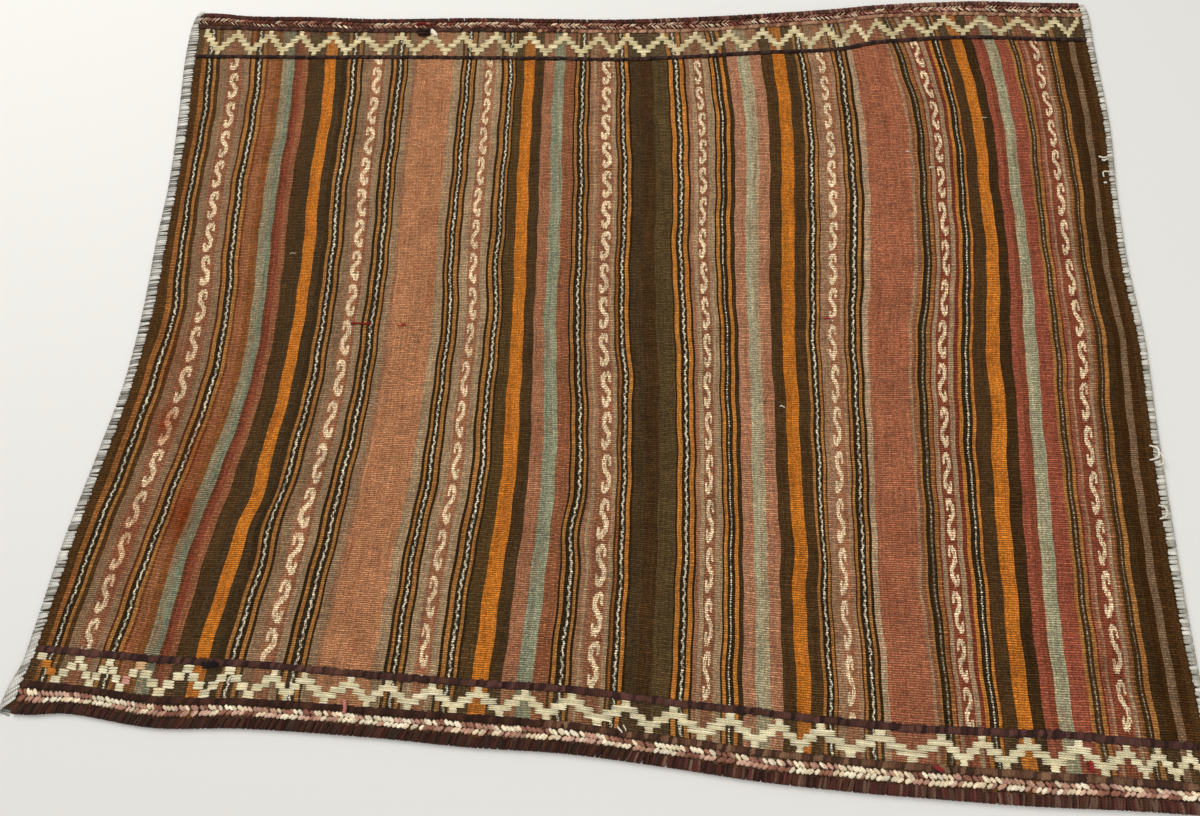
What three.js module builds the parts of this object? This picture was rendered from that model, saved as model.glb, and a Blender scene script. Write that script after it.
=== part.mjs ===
// A handwoven wool rug lying on a floor.
// Warp-faced stripes run from the near end to the far end. Each end is finished with two
// thin twined lines, a stepped zigzag and a two-row braid of wrapped weft, and a thick
// wrapped edge. Both selvedges are overcast with a pale yarn that goes over and under the
// edge. Millimetres: +X across the stripes, +Y along them away from the near end, +Z up.
// The floor is z = 0 and the origin is the middle of the rug's outline on it.

import * as THREE from 'three';
import { mergeVertices } from 'three/addons/utils/BufferGeometryUtils.js';

// Thicknesses and heights
const GAP = 0.3;               // air left between two pieces that lie on each other
const CLOTH_THICK = 2.6;       // the woven panel
const YARN_UNDER = 1.0;        // wrapping yarn that passes below the cloth at the border
const BORDER_LIFT = YARN_UNDER + GAP;
const LINE_HIGH = 1.5;         // a twined line stands this far above the cloth
const ZIGZAG_HIGH = 0.9;
const BRAID_HIGH = 2.6;
const ROLL_HIGH = 7.4;         // the wrapped end edge, floor to top
const BINDING_OVER = 1.7;      // overcast yarn above the cloth

// Widths across the border, measured from the rug's outer edge
const ROLL_WIDE = { near: 12.2, far: 8.4 };
const LINE_WIDE = { near: 6.6, far: 5.4 };
const LINE_CLEAR = 0.5;        // free cloth between a twined line and what lies beside it
const SLOT_IN = 2.4;           // thickness of yarn outside the cloth's own edge
const CLOTH_IN = 5.2;          // the cloth's edge stands this far inside the outer edge
const END_FLAT = 80;           // the border stays at its full lift this far in from an end
const END_DOWN = 120;          // and lies on the floor from here on
const SIDE_FLAT = 20;
const SIDE_DOWN = 52;

// Selvedges: the outer and inner edge of the pale overcasting at distances from the middle
const SELVEDGES = [
  { y: -491, leftOuter: -634.5, leftInner: -616, rightInner: 629, rightOuter: 635.5 },
  { y: -465, leftOuter: -630, leftInner: -612.5, rightInner: 631, rightOuter: 638.6 },
  { y: -440, leftOuter: -621.5, leftInner: -609, rightInner: 631.5, rightOuter: 639 },
  { y: -400, leftOuter: -618.5, leftInner: -605, rightInner: 630.5, rightOuter: 638 },
  { y: -300, leftOuter: -613, leftInner: -599, rightInner: 625.5, rightOuter: 635.5 },
  { y: -200, leftOuter: -602, leftInner: -588, rightInner: 624.5, rightOuter: 635 },
  { y: -100, leftOuter: -592, leftInner: -579, rightInner: 626.5, rightOuter: 635 },
  { y: 0, leftOuter: -593.5, leftInner: -578, rightInner: 628.5, rightOuter: 637 },
  { y: 100, leftOuter: -601.5, leftInner: -585.5, rightInner: 623, rightOuter: 631.5 },
  { y: 200, leftOuter: -607, leftInner: -593.5, rightInner: 624, rightOuter: 632 },
  { y: 300, leftOuter: -620, leftInner: -603.5, rightInner: 628, rightOuter: 636 },
  { y: 395, leftOuter: -634, leftInner: -618, rightInner: 624, rightOuter: 633 },
  { y: 430, leftOuter: -637.5, leftInner: -620.5, rightInner: 622.5, rightOuter: 632 },
  { y: 460, leftOuter: -639, leftInner: -626, rightInner: 621.5, rightOuter: 632 },
  { y: 482, leftOuter: -636.5, leftInner: -627.5, rightInner: 621, rightOuter: 630.5 },
  { y: 492, leftOuter: -631, leftInner: -623, rightInner: 620, rightOuter: 626.5 },
];

// Ends: where the rug's edge and the middles of the outer and the inner twined line lie, at
// places across the rug
const NEAR_END = [
  { x: -640, edge: -492, outer: -460, inner: -422.5 },
  { x: -600, edge: -492.5, outer: -460.5, inner: -422 },
  { x: -550, edge: -488, outer: -461, inner: -423 },
  { x: -450, edge: -495, outer: -466, inner: -424 },
  { x: -350, edge: -488.5, outer: -461, inner: -422 },
  { x: -200, edge: -486.8, outer: -460, inner: -424 },
  { x: -100, edge: -488.5, outer: -459.5, inner: -424 },
  { x: 0, edge: -487, outer: -459.5, inner: -423.5 },
  { x: 100, edge: -491.5, outer: -464.5, inner: -428.5 },
  { x: 200, edge: -498, outer: -470, inner: -432 },
  { x: 300, edge: -500.5, outer: -472, inner: -435.5 },
  { x: 355, edge: -500.5, outer: -472, inner: -436 },
  { x: 450, edge: -500, outer: -471, inner: -433.5 },
  { x: 500, edge: -498.5, outer: -470.5, inner: -431.5 },
  { x: 550, edge: -496.5, outer: -470, inner: -433 },
  { x: 640, edge: -495, outer: -469.5, inner: -433.5 },
];
const FAR_END = [
  { x: -640, edge: 491, outer: 465, inner: 411 },
  { x: -600, edge: 490, outer: 463, inner: 410 },
  { x: -550, edge: 484.5, outer: 461, inner: 409.5 },
  { x: -450, edge: 482, outer: 457.5, inner: 408 },
  { x: -350, edge: 477.5, outer: 455, inner: 408 },
  { x: -200, edge: 478, outer: 455.5, inner: 406.5 },
  { x: -100, edge: 475.5, outer: 453.5, inner: 405 },
  { x: 0, edge: 473.5, outer: 451.5, inner: 403 },
  { x: 100, edge: 476.5, outer: 452.5, inner: 407 },
  { x: 200, edge: 482, outer: 460, inner: 414 },
  { x: 300, edge: 489.5, outer: 467.5, inner: 419 },
  { x: 355, edge: 495.5, outer: 475, inner: 431 },
  { x: 450, edge: 500, outer: 479, inner: 438 },
  { x: 500, edge: 500.5, outer: 478, inner: 438.5 },
  { x: 550, edge: 498, outer: 475.5, inner: 435.5 },
  { x: 640, edge: 495, outer: 474, inner: 433 },
];
const ENDS = { near: NEAR_END, far: FAR_END };

// Tops of the stepped zigzag, from the left selvedge to the right one
const NEAR_PEAKS = [
  -598, -552, -516, -480, -423, -375, -323, -290, -236, -195, -146, -96, -45, 4, 63, 112,
  171, 221, 261, 321, 382, 420, 464, 512, 558, 586, 615,
];
const FAR_PEAKS = [
  -611, -562, -511, -464, -414, -369, -312, -267, -222, -174, -125, -75, -25, 13, 62, 108,
  154, 200, 243, 285, 325, 353, 396, 443, 490, 539, 587, 615,
];
const STEPS = { near: 3, far: 4 };   // steps from a low point of the zigzag up to a top
const STEP_UPRIGHT = 2;              // every column of the zigzag is two steps high
const ZIGZAG_MIDDLE = { near: -441, far: 436 };
const ZIGZAG_CLEAR = 3;              // from the zigzag to the overcasting

// Broad low rises where the rug does not lie quite flat
const RISES = [
  { x: -470, y: 30, wide: 120, long: 210, high: 1.6 },
  { x: 350, y: 330, wide: 120, long: 75, high: 1.8 },
  { x: -60, y: -130, wide: 90, long: 170, high: 0.9 },
  { x: 500, y: -150, wide: 90, long: 200, high: 1.1 },
];

// How finely each piece is divided. The panel's border has lines at set distances from its
// edge, and all that runs along an end has the same sections, so that neighbours keep their gap.
const PANEL_SIDE_STEPS = [0, 20, 36, 54];
const PANEL_END_STEPS = [0, 24, 50, 76, 92, 108, 124];
const PANEL_WIDE = 1260;
const PANEL_LONG = 980;
const PANEL_INNER_COLUMNS = 32;
const PANEL_INNER_ROWS = 15;
const END_PARTS = 40;
const BINDING_PARTS = 40;
const CLOSER_AT_ENDS = 0.11;     // draws the overcasting's sections together near its ends
const BINDING_SECTION = 10;      // width of the overcasting's section before it is laid
const BESIDE = [-4, 0, 4];       // an end piece keeps clear of the selvedge a little way along

// A smooth curve through one column of a table
function along(rows, place, column, at) {
  const last = rows.length - 1;
  const clamped = THREE.MathUtils.clamp(at, rows[0][place], rows[last][place]);
  let i = 0;
  while (i < last - 1 && clamped > rows[i + 1][place]) i += 1;
  const slope = (j) => {
    const a = rows[Math.max(j - 1, 0)];
    const b = rows[Math.min(j + 1, last)];
    return (b[column] - a[column]) / (b[place] - a[place]);
  };
  const span = rows[i + 1][place] - rows[i][place];
  const t = (clamped - rows[i][place]) / span;
  const start = rows[i][column];
  const end = rows[i + 1][column];
  const h = t * t * (3 - 2 * t);
  return start + (end - start) * h
    + span * t * (1 - t) * (slope(i) * (1 - t) - slope(i + 1) * t);
}

const selvedge = (column, y) => along(SELVEDGES, 'y', column, y);
const end = (side, column, x) => along(ENDS[side], 'x', column, x);

function rise(x, y) {
  return RISES.reduce((sum, r) => {
    const d = ((x - r.x) / r.wide) ** 2 + ((y - r.y) / r.long) ** 2;
    return sum + (d < 1 ? r.high * (1 - d) ** 2 : 0);
  }, 0);
}

// Height of the cloth's underside: flat on the floor inside, lifted at the border by the
// yarn below it, with the few broad rises
function underside(x, y) {
  const fromSide = Math.min(x - selvedge('leftOuter', y), selvedge('rightOuter', y) - x);
  const fromEnd = Math.min(y - end('near', 'edge', x), end('far', 'edge', x) - y);
  const sideLift = 1 - THREE.MathUtils.smoothstep(fromSide, SIDE_FLAT, SIDE_DOWN);
  const endLift = 1 - THREE.MathUtils.smoothstep(fromEnd, END_FLAT, END_DOWN);
  return BORDER_LIFT * Math.max(sideLift, endLift) + rise(x, y);
}

const clothTop = (x, y) => underside(x, y) + CLOTH_THICK;

// Moves every point of a closed geometry to where it lies on the rug, and keeps its faces
// pointing outwards
function laid(geometry, place) {
  geometry.deleteAttribute('uv');
  geometry.deleteAttribute('normal');
  const merged = mergeVertices(geometry, 1e-5);
  const points = merged.attributes.position;
  const point = new THREE.Vector3();
  for (let i = 0; i < points.count; i += 1) {
    point.fromBufferAttribute(points, i);
    place(point);
    points.setXYZ(i, point.x, point.y, point.z);
  }
  const corners = merged.index.array;
  const [a, b, c] = [new THREE.Vector3(), new THREE.Vector3(), new THREE.Vector3()];
  let volume = 0;
  for (let i = 0; i < corners.length; i += 3) {
    a.fromBufferAttribute(points, corners[i]);
    b.fromBufferAttribute(points, corners[i + 1]);
    c.fromBufferAttribute(points, corners[i + 2]);
    volume += a.dot(b.cross(c));
  }
  if (volume < 0) {
    for (let i = 0; i < corners.length; i += 3) {
      [corners[i + 1], corners[i + 2]] = [corners[i + 2], corners[i + 1]];
    }
  }
  merged.computeVertexNormals();
  return merged;
}

// A strip with the given section, 1 long, to be laid along an edge: x is the distance
// across the strip, y the height and z the share of its length
function strip(section, parts) {
  const shape = new THREE.Shape(section.map(([across, high]) => new THREE.Vector2(across, high)));
  return new THREE.ExtrudeGeometry(shape, { depth: 1, steps: parts, bevelEnabled: false });
}

// The point across the rug at a share of the way between the overcast selvedges, and its
// distance along the rug, for a strip that follows a line of the table of ends
function acrossRug(share, distance) {
  let x = PANEL_WIDE * (share - 0.5);
  let y = distance(x);
  for (let turn = 0; turn < 4; turn += 1) {
    const left = Math.max(...BESIDE.map((d) => selvedge('leftInner', y + d))) + LINE_CLEAR;
    const right = Math.min(...BESIDE.map((d) => selvedge('rightInner', y + d))) - LINE_CLEAR;
    x = THREE.MathUtils.lerp(left, right, share);
    y = distance(x);
  }
  return { x, y };
}

// The woven panel: a box divided into a grid, finer in the border, whose points go to the
// cloth's outline, underside and top
function wovenPanel() {
  const shares = (distances, length, inner) => {
    const steps = distances.map((distance) => distance / length);
    const first = steps[steps.length - 1];
    const middle = Array.from(
      { length: inner - 1 },
      (_, i) => THREE.MathUtils.lerp(first, 1 - first, (i + 1) / inner),
    );
    return [...steps, ...middle, ...steps.map((step) => 1 - step).reverse()];
  };
  const across = shares(PANEL_SIDE_STEPS, PANEL_WIDE, PANEL_INNER_COLUMNS);
  const lengthwise = shares(PANEL_END_STEPS, PANEL_LONG, PANEL_INNER_ROWS);
  const columns = across.length - 1;
  const rows = lengthwise.length - 1;
  return laid(new THREE.BoxGeometry(1, 1, 1, columns, rows, 1), (point) => {
    const s = across[Math.round((point.x + 0.5) * columns)];
    const t = lengthwise[Math.round((point.y + 0.5) * rows)];
    let x = 0;
    let y = 0;
    for (let turn = 0; turn < 5; turn += 1) {
      y = THREE.MathUtils.lerp(
        end('near', 'edge', x) + CLOTH_IN,
        end('far', 'edge', x) - CLOTH_IN,
        t,
      );
      x = THREE.MathUtils.lerp(
        selvedge('leftOuter', y) + CLOTH_IN,
        selvedge('rightOuter', y) - CLOTH_IN,
        s,
      );
    }
    point.set(x, y, point.z > 0 ? clothTop(x, y) : underside(x, y));
  });
}

// Section of yarn wrapped over and under the cloth's edge, open towards the cloth
function wrapSection(wide, over) {
  const slotLow = BORDER_LIFT - GAP;
  const slotHigh = BORDER_LIFT + CLOTH_THICK + GAP;
  const top = slotHigh + over;
  return [
    [1.4, 0], [wide - 0.8, 0], [wide, slotLow], [SLOT_IN, slotLow], [SLOT_IN, slotHigh],
    [wide, slotHigh], [wide - 0.9, top - 0.45], [wide * 0.6, top], [wide * 0.3, top - 0.2],
    [0.6, top * 0.74], [0, top * 0.45], [0.3, top * 0.16],
  ];
}

// Overcast selvedge: the pale yarn's band along the left or right edge
function selvedgeBinding(side) {
  const first = SELVEDGES[0].y;
  const last = SELVEDGES[SELVEDGES.length - 1].y;
  return laid(strip(wrapSection(BINDING_SECTION, BINDING_OVER), BINDING_PARTS), (point) => {
    const share = point.z - CLOSER_AT_ENDS * Math.sin(2 * Math.PI * point.z);
    const y = THREE.MathUtils.lerp(first, last, share);
    const outer = selvedge(`${side}Outer`, y);
    const inner = selvedge(`${side}Inner`, y);
    const past = Math.max(point.x - SLOT_IN, 0) / (BINDING_SECTION - SLOT_IN);
    const inward = Math.min(point.x, SLOT_IN) + past * (Math.abs(inner - outer) - SLOT_IN);
    const x = outer + Math.sign(inner - outer) * inward;
    point.set(x, y, point.y);
  });
}

// Wrapped end edge: thick dark yarn round the cloth's end
function endRoll(side) {
  const wide = ROLL_WIDE[side];
  const over = ROLL_HIGH - BORDER_LIFT - CLOTH_THICK - GAP;
  const inwards = side === 'near' ? 1 : -1;
  return laid(strip(wrapSection(wide, over), END_PARTS), (point) => {
    const share = point.z;
    const high = point.y;
    const place = acrossRug(share, (x) => end(side, 'edge', x) + inwards * point.x);
    point.set(place.x, place.y, high);
  });
}

// Two rows of slanted wrapping between the rolled edge and the outer twined line
function braid(side) {
  const inwards = side === 'near' ? 1 : -1;
  const section = [
    [0, 0], [1, 0], [1, 0.45], [0.9, 0.85], [0.74, 1], [0.58, 0.86], [0.5, 0.7],
    [0.42, 0.86], [0.26, 1], [0.1, 0.85], [0, 0.45],
  ];
  return laid(strip(section, END_PARTS), (point) => {
    const share = point.z;
    const [across, high] = [point.x, point.y];
    const distance = (x) => {
      const outer = end(side, 'edge', x) + inwards * (ROLL_WIDE[side] + LINE_CLEAR);
      const lineEdge = LINE_WIDE[side] / 2 + LINE_CLEAR;
      const inner = end(side, 'outer', x) - inwards * lineEdge;
      return THREE.MathUtils.lerp(outer, inner, across);
    };
    const place = acrossRug(share, distance);
    point.set(place.x, place.y, clothTop(place.x, place.y) + GAP + high * BRAID_HIGH);
  });
}

// Thin dark line of twined weft
function twinedLine(side, which) {
  const wide = LINE_WIDE[side];
  const section = [[-0.5, 0], [0.5, 0], [0.4, 0.75], [0, 1], [-0.4, 0.75]];
  return laid(strip(section, END_PARTS), (point) => {
    const share = point.z;
    const [across, high] = [point.x, point.y];
    const place = acrossRug(share, (x) => end(side, which, x) + across * wide);
    point.set(place.x, place.y, clothTop(place.x, place.y) + GAP + high * LINE_HIGH);
  });
}

// Columns of the stepped zigzag: where each starts and ends across the rug, and its level
function zigzagColumns(peaks, steps, left, right) {
  const perRepeat = 2 * steps;
  const columns = [];
  const add = (from, to, level) => {
    if (to - from > 1 && from >= left && to <= right) columns.push({ from, to, level });
  };
  const firstWide = (peaks[1] - peaks[0]) / perRepeat;
  for (let k = steps; k >= 1; k -= 1) {
    add(peaks[0] - (k + 0.5) * firstWide, peaks[0] - (k - 0.5) * firstWide, steps - k);
  }
  let from = peaks[0] - firstWide / 2;
  for (let i = 0; i < peaks.length; i += 1) {
    const next = peaks[i + 1] ?? 2 * peaks[i] - peaks[i - 1];
    const wide = (next - peaks[i]) / perRepeat;
    for (let j = 0; j < perRepeat; j += 1) {
      const to = peaks[i] + (j + 0.5) * wide;
      add(from, to, Math.abs(steps - j));
      from = to;
    }
  }
  return columns;
}

// Stepped zigzag of cream weft, two levels high in every column, between the twined lines
function zigzag(side) {
  const peaks = side === 'near' ? NEAR_PEAKS : FAR_PEAKS;
  const steps = STEPS[side];
  const lineEdge = LINE_WIDE[side] / 2 + LINE_CLEAR;
  const columns = zigzagColumns(
    peaks,
    steps,
    selvedge('leftInner', ZIGZAG_MIDDLE[side]) + ZIGZAG_CLEAR,
    selvedge('rightInner', ZIGZAG_MIDDLE[side]) - ZIGZAG_CLEAR,
  );
  const outline = [];
  columns.forEach(({ from, to, level }) => {
    outline.push([from, level + STEP_UPRIGHT], [to, level + STEP_UPRIGHT]);
  });
  [...columns].reverse().forEach(({ from, to, level }) => outline.push([to, level], [from, level]));
  const shape = new THREE.Shape(outline.map(([x, level]) => new THREE.Vector2(x, level)));
  const slab = new THREE.ExtrudeGeometry(shape, { depth: 1, steps: 1, bevelEnabled: false });
  return laid(slab, (point) => {
    const lines = [end(side, 'outer', point.x), end(side, 'inner', point.x)];
    const low = Math.min(...lines) + lineEdge;
    const high = Math.max(...lines) - lineEdge;
    const y = THREE.MathUtils.lerp(low, high, point.y / (steps + STEP_UPRIGHT));
    point.set(point.x, y, clothTop(point.x, y) + GAP + point.z * ZIGZAG_HIGH);
  });
}

const wool = (color, roughness) => new THREE.MeshStandardMaterial({ color, roughness, metalness: 0 });
const STRIPED_WOOL = wool(0x8a5f48, 0.95);
const DARK_WOOL = wool(0x3a241c, 0.95);
const CREAM_WOOL = wool(0xd8c69a, 0.93);
const ROSE_CREAM_WOOL = wool(0xc08a78, 0.93);
const PALE_WOOL = wool(0xd8d2c8, 0.92);

const rug = new THREE.Group();

function add(name, geometry, material) {
  const mesh = new THREE.Mesh(geometry, material);
  mesh.name = name;
  rug.add(mesh);
}

add('woven_panel', wovenPanel(), STRIPED_WOOL);
for (const side of ['near', 'far']) {
  add(`wrapped_end_${side}`, endRoll(side), DARK_WOOL);
  add(`braid_${side}`, braid(side), ROSE_CREAM_WOOL);
  add(`twined_line_outer_${side}`, twinedLine(side, 'outer'), DARK_WOOL);
  add(`twined_line_inner_${side}`, twinedLine(side, 'inner'), DARK_WOOL);
  add(`zigzag_${side}`, zigzag(side), CREAM_WOOL);
}
for (const side of ['left', 'right']) {
  add(`selvedge_overcast_${side}`, selvedgeBinding(side), PALE_WOOL);
}

export default rug;
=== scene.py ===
# %% [markdown]
# # A soumak rug in Blender
# The rug is a warp-faced cloth: the long warp yarns hide the wefts, so the colours lie in
# stripes along it. Both ends carry a border of wrapped and twined yarn, and both long edges
# are overcast with a pale yarn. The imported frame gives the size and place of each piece.
# This lesson dresses those plain solids: the woven stripes become a material, and the
# yarns of the border are modelled stitch by stitch.

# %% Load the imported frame
import math
import bpy
import numpy as np
from functools import partial
from mathutils import Matrix, Vector


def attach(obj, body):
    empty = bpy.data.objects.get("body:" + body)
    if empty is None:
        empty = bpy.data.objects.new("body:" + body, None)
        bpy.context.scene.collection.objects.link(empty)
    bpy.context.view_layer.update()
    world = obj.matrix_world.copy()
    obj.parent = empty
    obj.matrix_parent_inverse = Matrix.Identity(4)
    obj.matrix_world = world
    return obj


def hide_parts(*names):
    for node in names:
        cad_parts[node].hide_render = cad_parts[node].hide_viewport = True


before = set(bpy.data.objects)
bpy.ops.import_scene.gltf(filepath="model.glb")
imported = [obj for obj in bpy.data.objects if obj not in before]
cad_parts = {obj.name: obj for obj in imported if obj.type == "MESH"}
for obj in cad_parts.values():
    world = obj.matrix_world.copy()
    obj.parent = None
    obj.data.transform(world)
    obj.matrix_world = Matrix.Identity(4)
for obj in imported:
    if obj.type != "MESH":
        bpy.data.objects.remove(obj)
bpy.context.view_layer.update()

# %% [markdown]
# ## Measures of the rug
# A rug woven by hand is never a true rectangle. Its outline could be drawn as one closed
# curve, but the border yarns have to follow the same edges, so the edges are kept as short
# tables that any piece can read. All tables are in millimetres, and points are turned to
# metres only when they are written to a mesh.

# %% Edges of the rug
MM = 0.001
GAP = 0.3
CLOTH_THICK = 2.6
YARN_UNDER = 1.0
BORDER_LIFT = YARN_UNDER + GAP
LINE_HIGH = 1.5
ZIGZAG_HIGH = 0.9
BRAID_HIGH = 2.6
ROLL_WIDE = {"near": 12.2, "far": 8.4}
LINE_WIDE = {"near": 6.6, "far": 5.4}
LINE_CLEAR = 0.5
CLOTH_IN = 5.2
END_FLAT, END_DOWN = 80, 120
SIDE_FLAT, SIDE_DOWN = 20, 52

SELVEDGE_COLUMNS = ("y", "left_outer", "left_inner", "right_inner", "right_outer")
SELVEDGES = np.array([
    (-491, -634.5, -616, 629, 635.5),
    (-465, -630, -612.5, 631, 638.6),
    (-440, -621.5, -609, 631.5, 639),
    (-400, -618.5, -605, 630.5, 638),
    (-300, -613, -599, 625.5, 635.5),
    (-200, -602, -588, 624.5, 635),
    (-100, -592, -579, 626.5, 635),
    (0, -593.5, -578, 628.5, 637),
    (100, -601.5, -585.5, 623, 631.5),
    (200, -607, -593.5, 624, 632),
    (300, -620, -603.5, 628, 636),
    (395, -634, -618, 624, 633),
    (430, -637.5, -620.5, 622.5, 632),
    (460, -639, -626, 621.5, 632),
    (482, -636.5, -627.5, 621, 630.5),
    (492, -631, -623, 620, 626.5),
])

END_COLUMNS = ("x", "near edge", "near outer", "near inner", "far inner", "far outer", "far edge")
ENDS = np.array([
    (-640, -492, -460, -422.5, 411, 465, 491),
    (-600, -492.5, -460.5, -422, 410, 463, 490),
    (-550, -488, -461, -423, 409.5, 461, 484.5),
    (-450, -495, -466, -424, 408, 457.5, 482),
    (-350, -488.5, -461, -422, 408, 455, 477.5),
    (-200, -486.8, -460, -424, 406.5, 455.5, 478),
    (-100, -488.5, -459.5, -424, 405, 453.5, 475.5),
    (0, -487, -459.5, -423.5, 403, 451.5, 473.5),
    (100, -491.5, -464.5, -428.5, 407, 452.5, 476.5),
    (200, -498, -470, -432, 414, 460, 482),
    (300, -500.5, -472, -435.5, 419, 467.5, 489.5),
    (355, -500.5, -472, -436, 431, 475, 495.5),
    (450, -500, -471, -433.5, 438, 479, 500),
    (500, -498.5, -470.5, -431.5, 438.5, 478, 500.5),
    (550, -496.5, -470, -433, 435.5, 475.5, 498),
    (640, -495, -469.5, -433.5, 433, 474, 495),
])

RISE_COLUMNS = ("x", "y", "wide", "long", "high")
RISES = [
    (-470, 30, 120, 210, 1.6),
    (350, 330, 120, 75, 1.8),
    (-60, -130, 90, 170, 0.9),
    (500, -150, 90, 200, 1.1),
]


def smooth_curve(places, values, at):
    """A smooth curve through the values at their places, read at other places."""
    places, values = np.asarray(places, float), np.asarray(values, float)
    at = np.clip(at, places[0], places[-1])
    before = np.maximum(np.arange(len(places)) - 1, 0)
    after = np.minimum(np.arange(len(places)) + 1, len(places) - 1)
    slopes = (values[after] - values[before]) / (places[after] - places[before])
    i = np.clip(np.searchsorted(places, at, side="left") - 1, 0, len(places) - 2)
    span = places[i + 1] - places[i]
    t = (at - places[i]) / span
    ease = t * t * (3 - 2 * t)
    bend = span * t * (1 - t) * (slopes[i] * (1 - t) - slopes[i + 1] * t)
    return values[i] + (values[i + 1] - values[i]) * ease + bend


def selvedge(column, y):
    return smooth_curve(SELVEDGES[:, 0], SELVEDGES[:, SELVEDGE_COLUMNS.index(column)], y)


def end_line(side, column, x):
    return smooth_curve(ENDS[:, 0], ENDS[:, END_COLUMNS.index(f"{side} {column}")], x)


def hump(from_x, from_y, wide, long):
    """A smooth round hump: 1 in its middle, 0 from its edge outwards."""
    d = (from_x / wide) ** 2 + (from_y / long) ** 2
    return np.where(d < 1, (1 - d) ** 2, 0)


def smooth_step(value, low, high):
    t = np.clip((value - low) / (high - low), 0, 1)
    return t * t * (3 - 2 * t)


def underside(x, y):
    """Height of the cloth's underside: on the floor inside, lifted by the yarn below its border."""
    from_side = np.minimum(x - selvedge("left_outer", y), selvedge("right_outer", y) - x)
    from_end = np.minimum(y - end_line("near", "edge", x), end_line("far", "edge", x) - y)
    side_lift = 1 - smooth_step(from_side, SIDE_FLAT, SIDE_DOWN)
    end_lift = 1 - smooth_step(from_end, END_FLAT, END_DOWN)
    height = BORDER_LIFT * np.maximum(side_lift, end_lift)
    for rise_x, rise_y, wide, long, high in RISES:
        height = height + high * hump(x - rise_x, y - rise_y, wide, long)
    return height


def cloth_top(x, y):
    return underside(x, y) + CLOTH_THICK


print("cloth top in the middle and at the near end:", cloth_top(0.0, 0.0), cloth_top(0.0, -470.0))

# %% [markdown]
# ## Camera
# The picture was taken by hand from the near side, with a wide lens, so the rug looks
# narrower at the far end. A camera could be aimed with a Track To constraint, but that can't
# hold its tilt to one side, so its three directions are worked out here and written to its
# matrix.

# %% Camera at the picture's viewing angle
CAMERA_PLACE = Vector((0.104, -0.4087, 0.8971))
LOOK_DOWN, LOOK_TURN, LOOK_TILT = math.radians(70.6), math.radians(-16.9), math.radians(-13.7)
LENS_MM, SENSOR_MM = 24.0, 36.0


def camera_axes(down, turn, tilt):
    forward = Vector((
        math.sin(turn) * math.cos(down),
        math.cos(turn) * math.cos(down),
        -math.sin(down),
    ))
    level = forward.cross(Vector((0, 0, 1))).normalized()
    above = level.cross(forward)
    right = math.cos(tilt) * level + math.sin(tilt) * above
    up = math.cos(tilt) * above - math.sin(tilt) * level
    return right, up, -forward


bpy.ops.object.select_all(action="DESELECT")
bpy.ops.object.camera_add(location=CAMERA_PLACE)
camera = bpy.context.object
camera.name = "photo_camera"
camera.data.lens = LENS_MM
camera.data.sensor_width = SENSOR_MM
axes = Matrix(camera_axes(LOOK_DOWN, LOOK_TURN, LOOK_TILT)).transposed()
camera.matrix_world = Matrix.Translation(CAMERA_PLACE) @ axes.to_4x4()
bpy.context.scene.camera = camera
print("camera at", list(CAMERA_PLACE), "lens", LENS_MM)

# %% [markdown]
# ## Small helpers
# Dyed yarns are chosen as sRGB hex values, as from a shade card, while Blender works in
# linear light, so one function turns them. Another adds a shader node with its settings and
# links in one line. Patterns are built from these two only.

# %% Helpers for colours, nodes and selection
def linear(hex_colour):
    """An sRGB hex colour as linear red, green, blue and alpha."""
    parts = [int(hex_colour[i:i + 2], 16) / 255 for i in (1, 3, 5)]
    return tuple(p / 12.92 if p <= 0.04045 else ((p + 0.055) / 1.055) ** 2.4 for p in parts) + (1.0,)


def node(tree, kind, inputs=(), operation=None, **settings):
    """Adds a shader node. Its inputs go by number in a tuple or by name in a dictionary. Each is
    a value, the socket that feeds it, or a node, whose first output then feeds it. In a Mix
    node, input 0 is the share, 2 and 3 are two numbers, and 6 and 7 two colours."""
    made = tree.nodes.new("ShaderNode" + kind)
    if operation:
        made.operation = operation
    for name, value in settings.items():
        setattr(made, name, value)
    for name, value in inputs.items() if isinstance(inputs, dict) else enumerate(inputs):
        if isinstance(value, bpy.types.Node):
            value = value.outputs[0]
        if isinstance(value, bpy.types.NodeSocket):
            tree.links.new(value, made.inputs[name])
        else:
            made.inputs[name].default_value = value
    return made


def new_material(name):
    """A material, the function above for its own node tree, and its Principled shader."""
    made = bpy.data.materials.new(name)
    made.use_nodes = True
    return made, partial(node, made.node_tree), made.node_tree.nodes["Principled BSDF"]


def finish_wool(made, shader, dyed_and_shaded, bump, roughness, specular, sheen):
    """Wool is matt: rough, with little gloss and a trace of sheen from its loose fibres."""
    made.node_tree.links.new(dyed_and_shaded.outputs[0], shader.inputs["Base Color"])
    made.node_tree.links.new(bump.outputs[0], shader.inputs["Normal"])
    shader.inputs["Roughness"].default_value = roughness
    shader.inputs["Specular IOR Level"].default_value = specular
    shader.inputs["Sheen Weight"].default_value = sheen
    shader.inputs["Sheen Roughness"].default_value = 0.5


def nothing_selected():
    bpy.ops.object.select_all(action="DESELECT")


def dress(piece, slot, *nodes):
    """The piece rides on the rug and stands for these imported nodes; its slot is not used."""
    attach(piece, "root")
    if nodes:
        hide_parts(*nodes)


print("rust in linear light:", [round(c, 3) for c in linear("#8F5A45")])

# %% [markdown]
# ## The warp
# The weaver stretches the warp yarns in the order of the stripes, then beats each weft down
# between them. In a warp-faced cloth two neighbouring warps take turns on the surface: one
# shows at odd wefts, the other at even ones. Two alike give a plain stripe, two shades give
# fine crosswise ribs, and a white beside a black one gives a dotted line. So the stripes are
# written as the weaver would count them: where each ends, and the two yarns in it, or one if
# they are alike. The three pairs that return in every group of narrow stripes have names.

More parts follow.
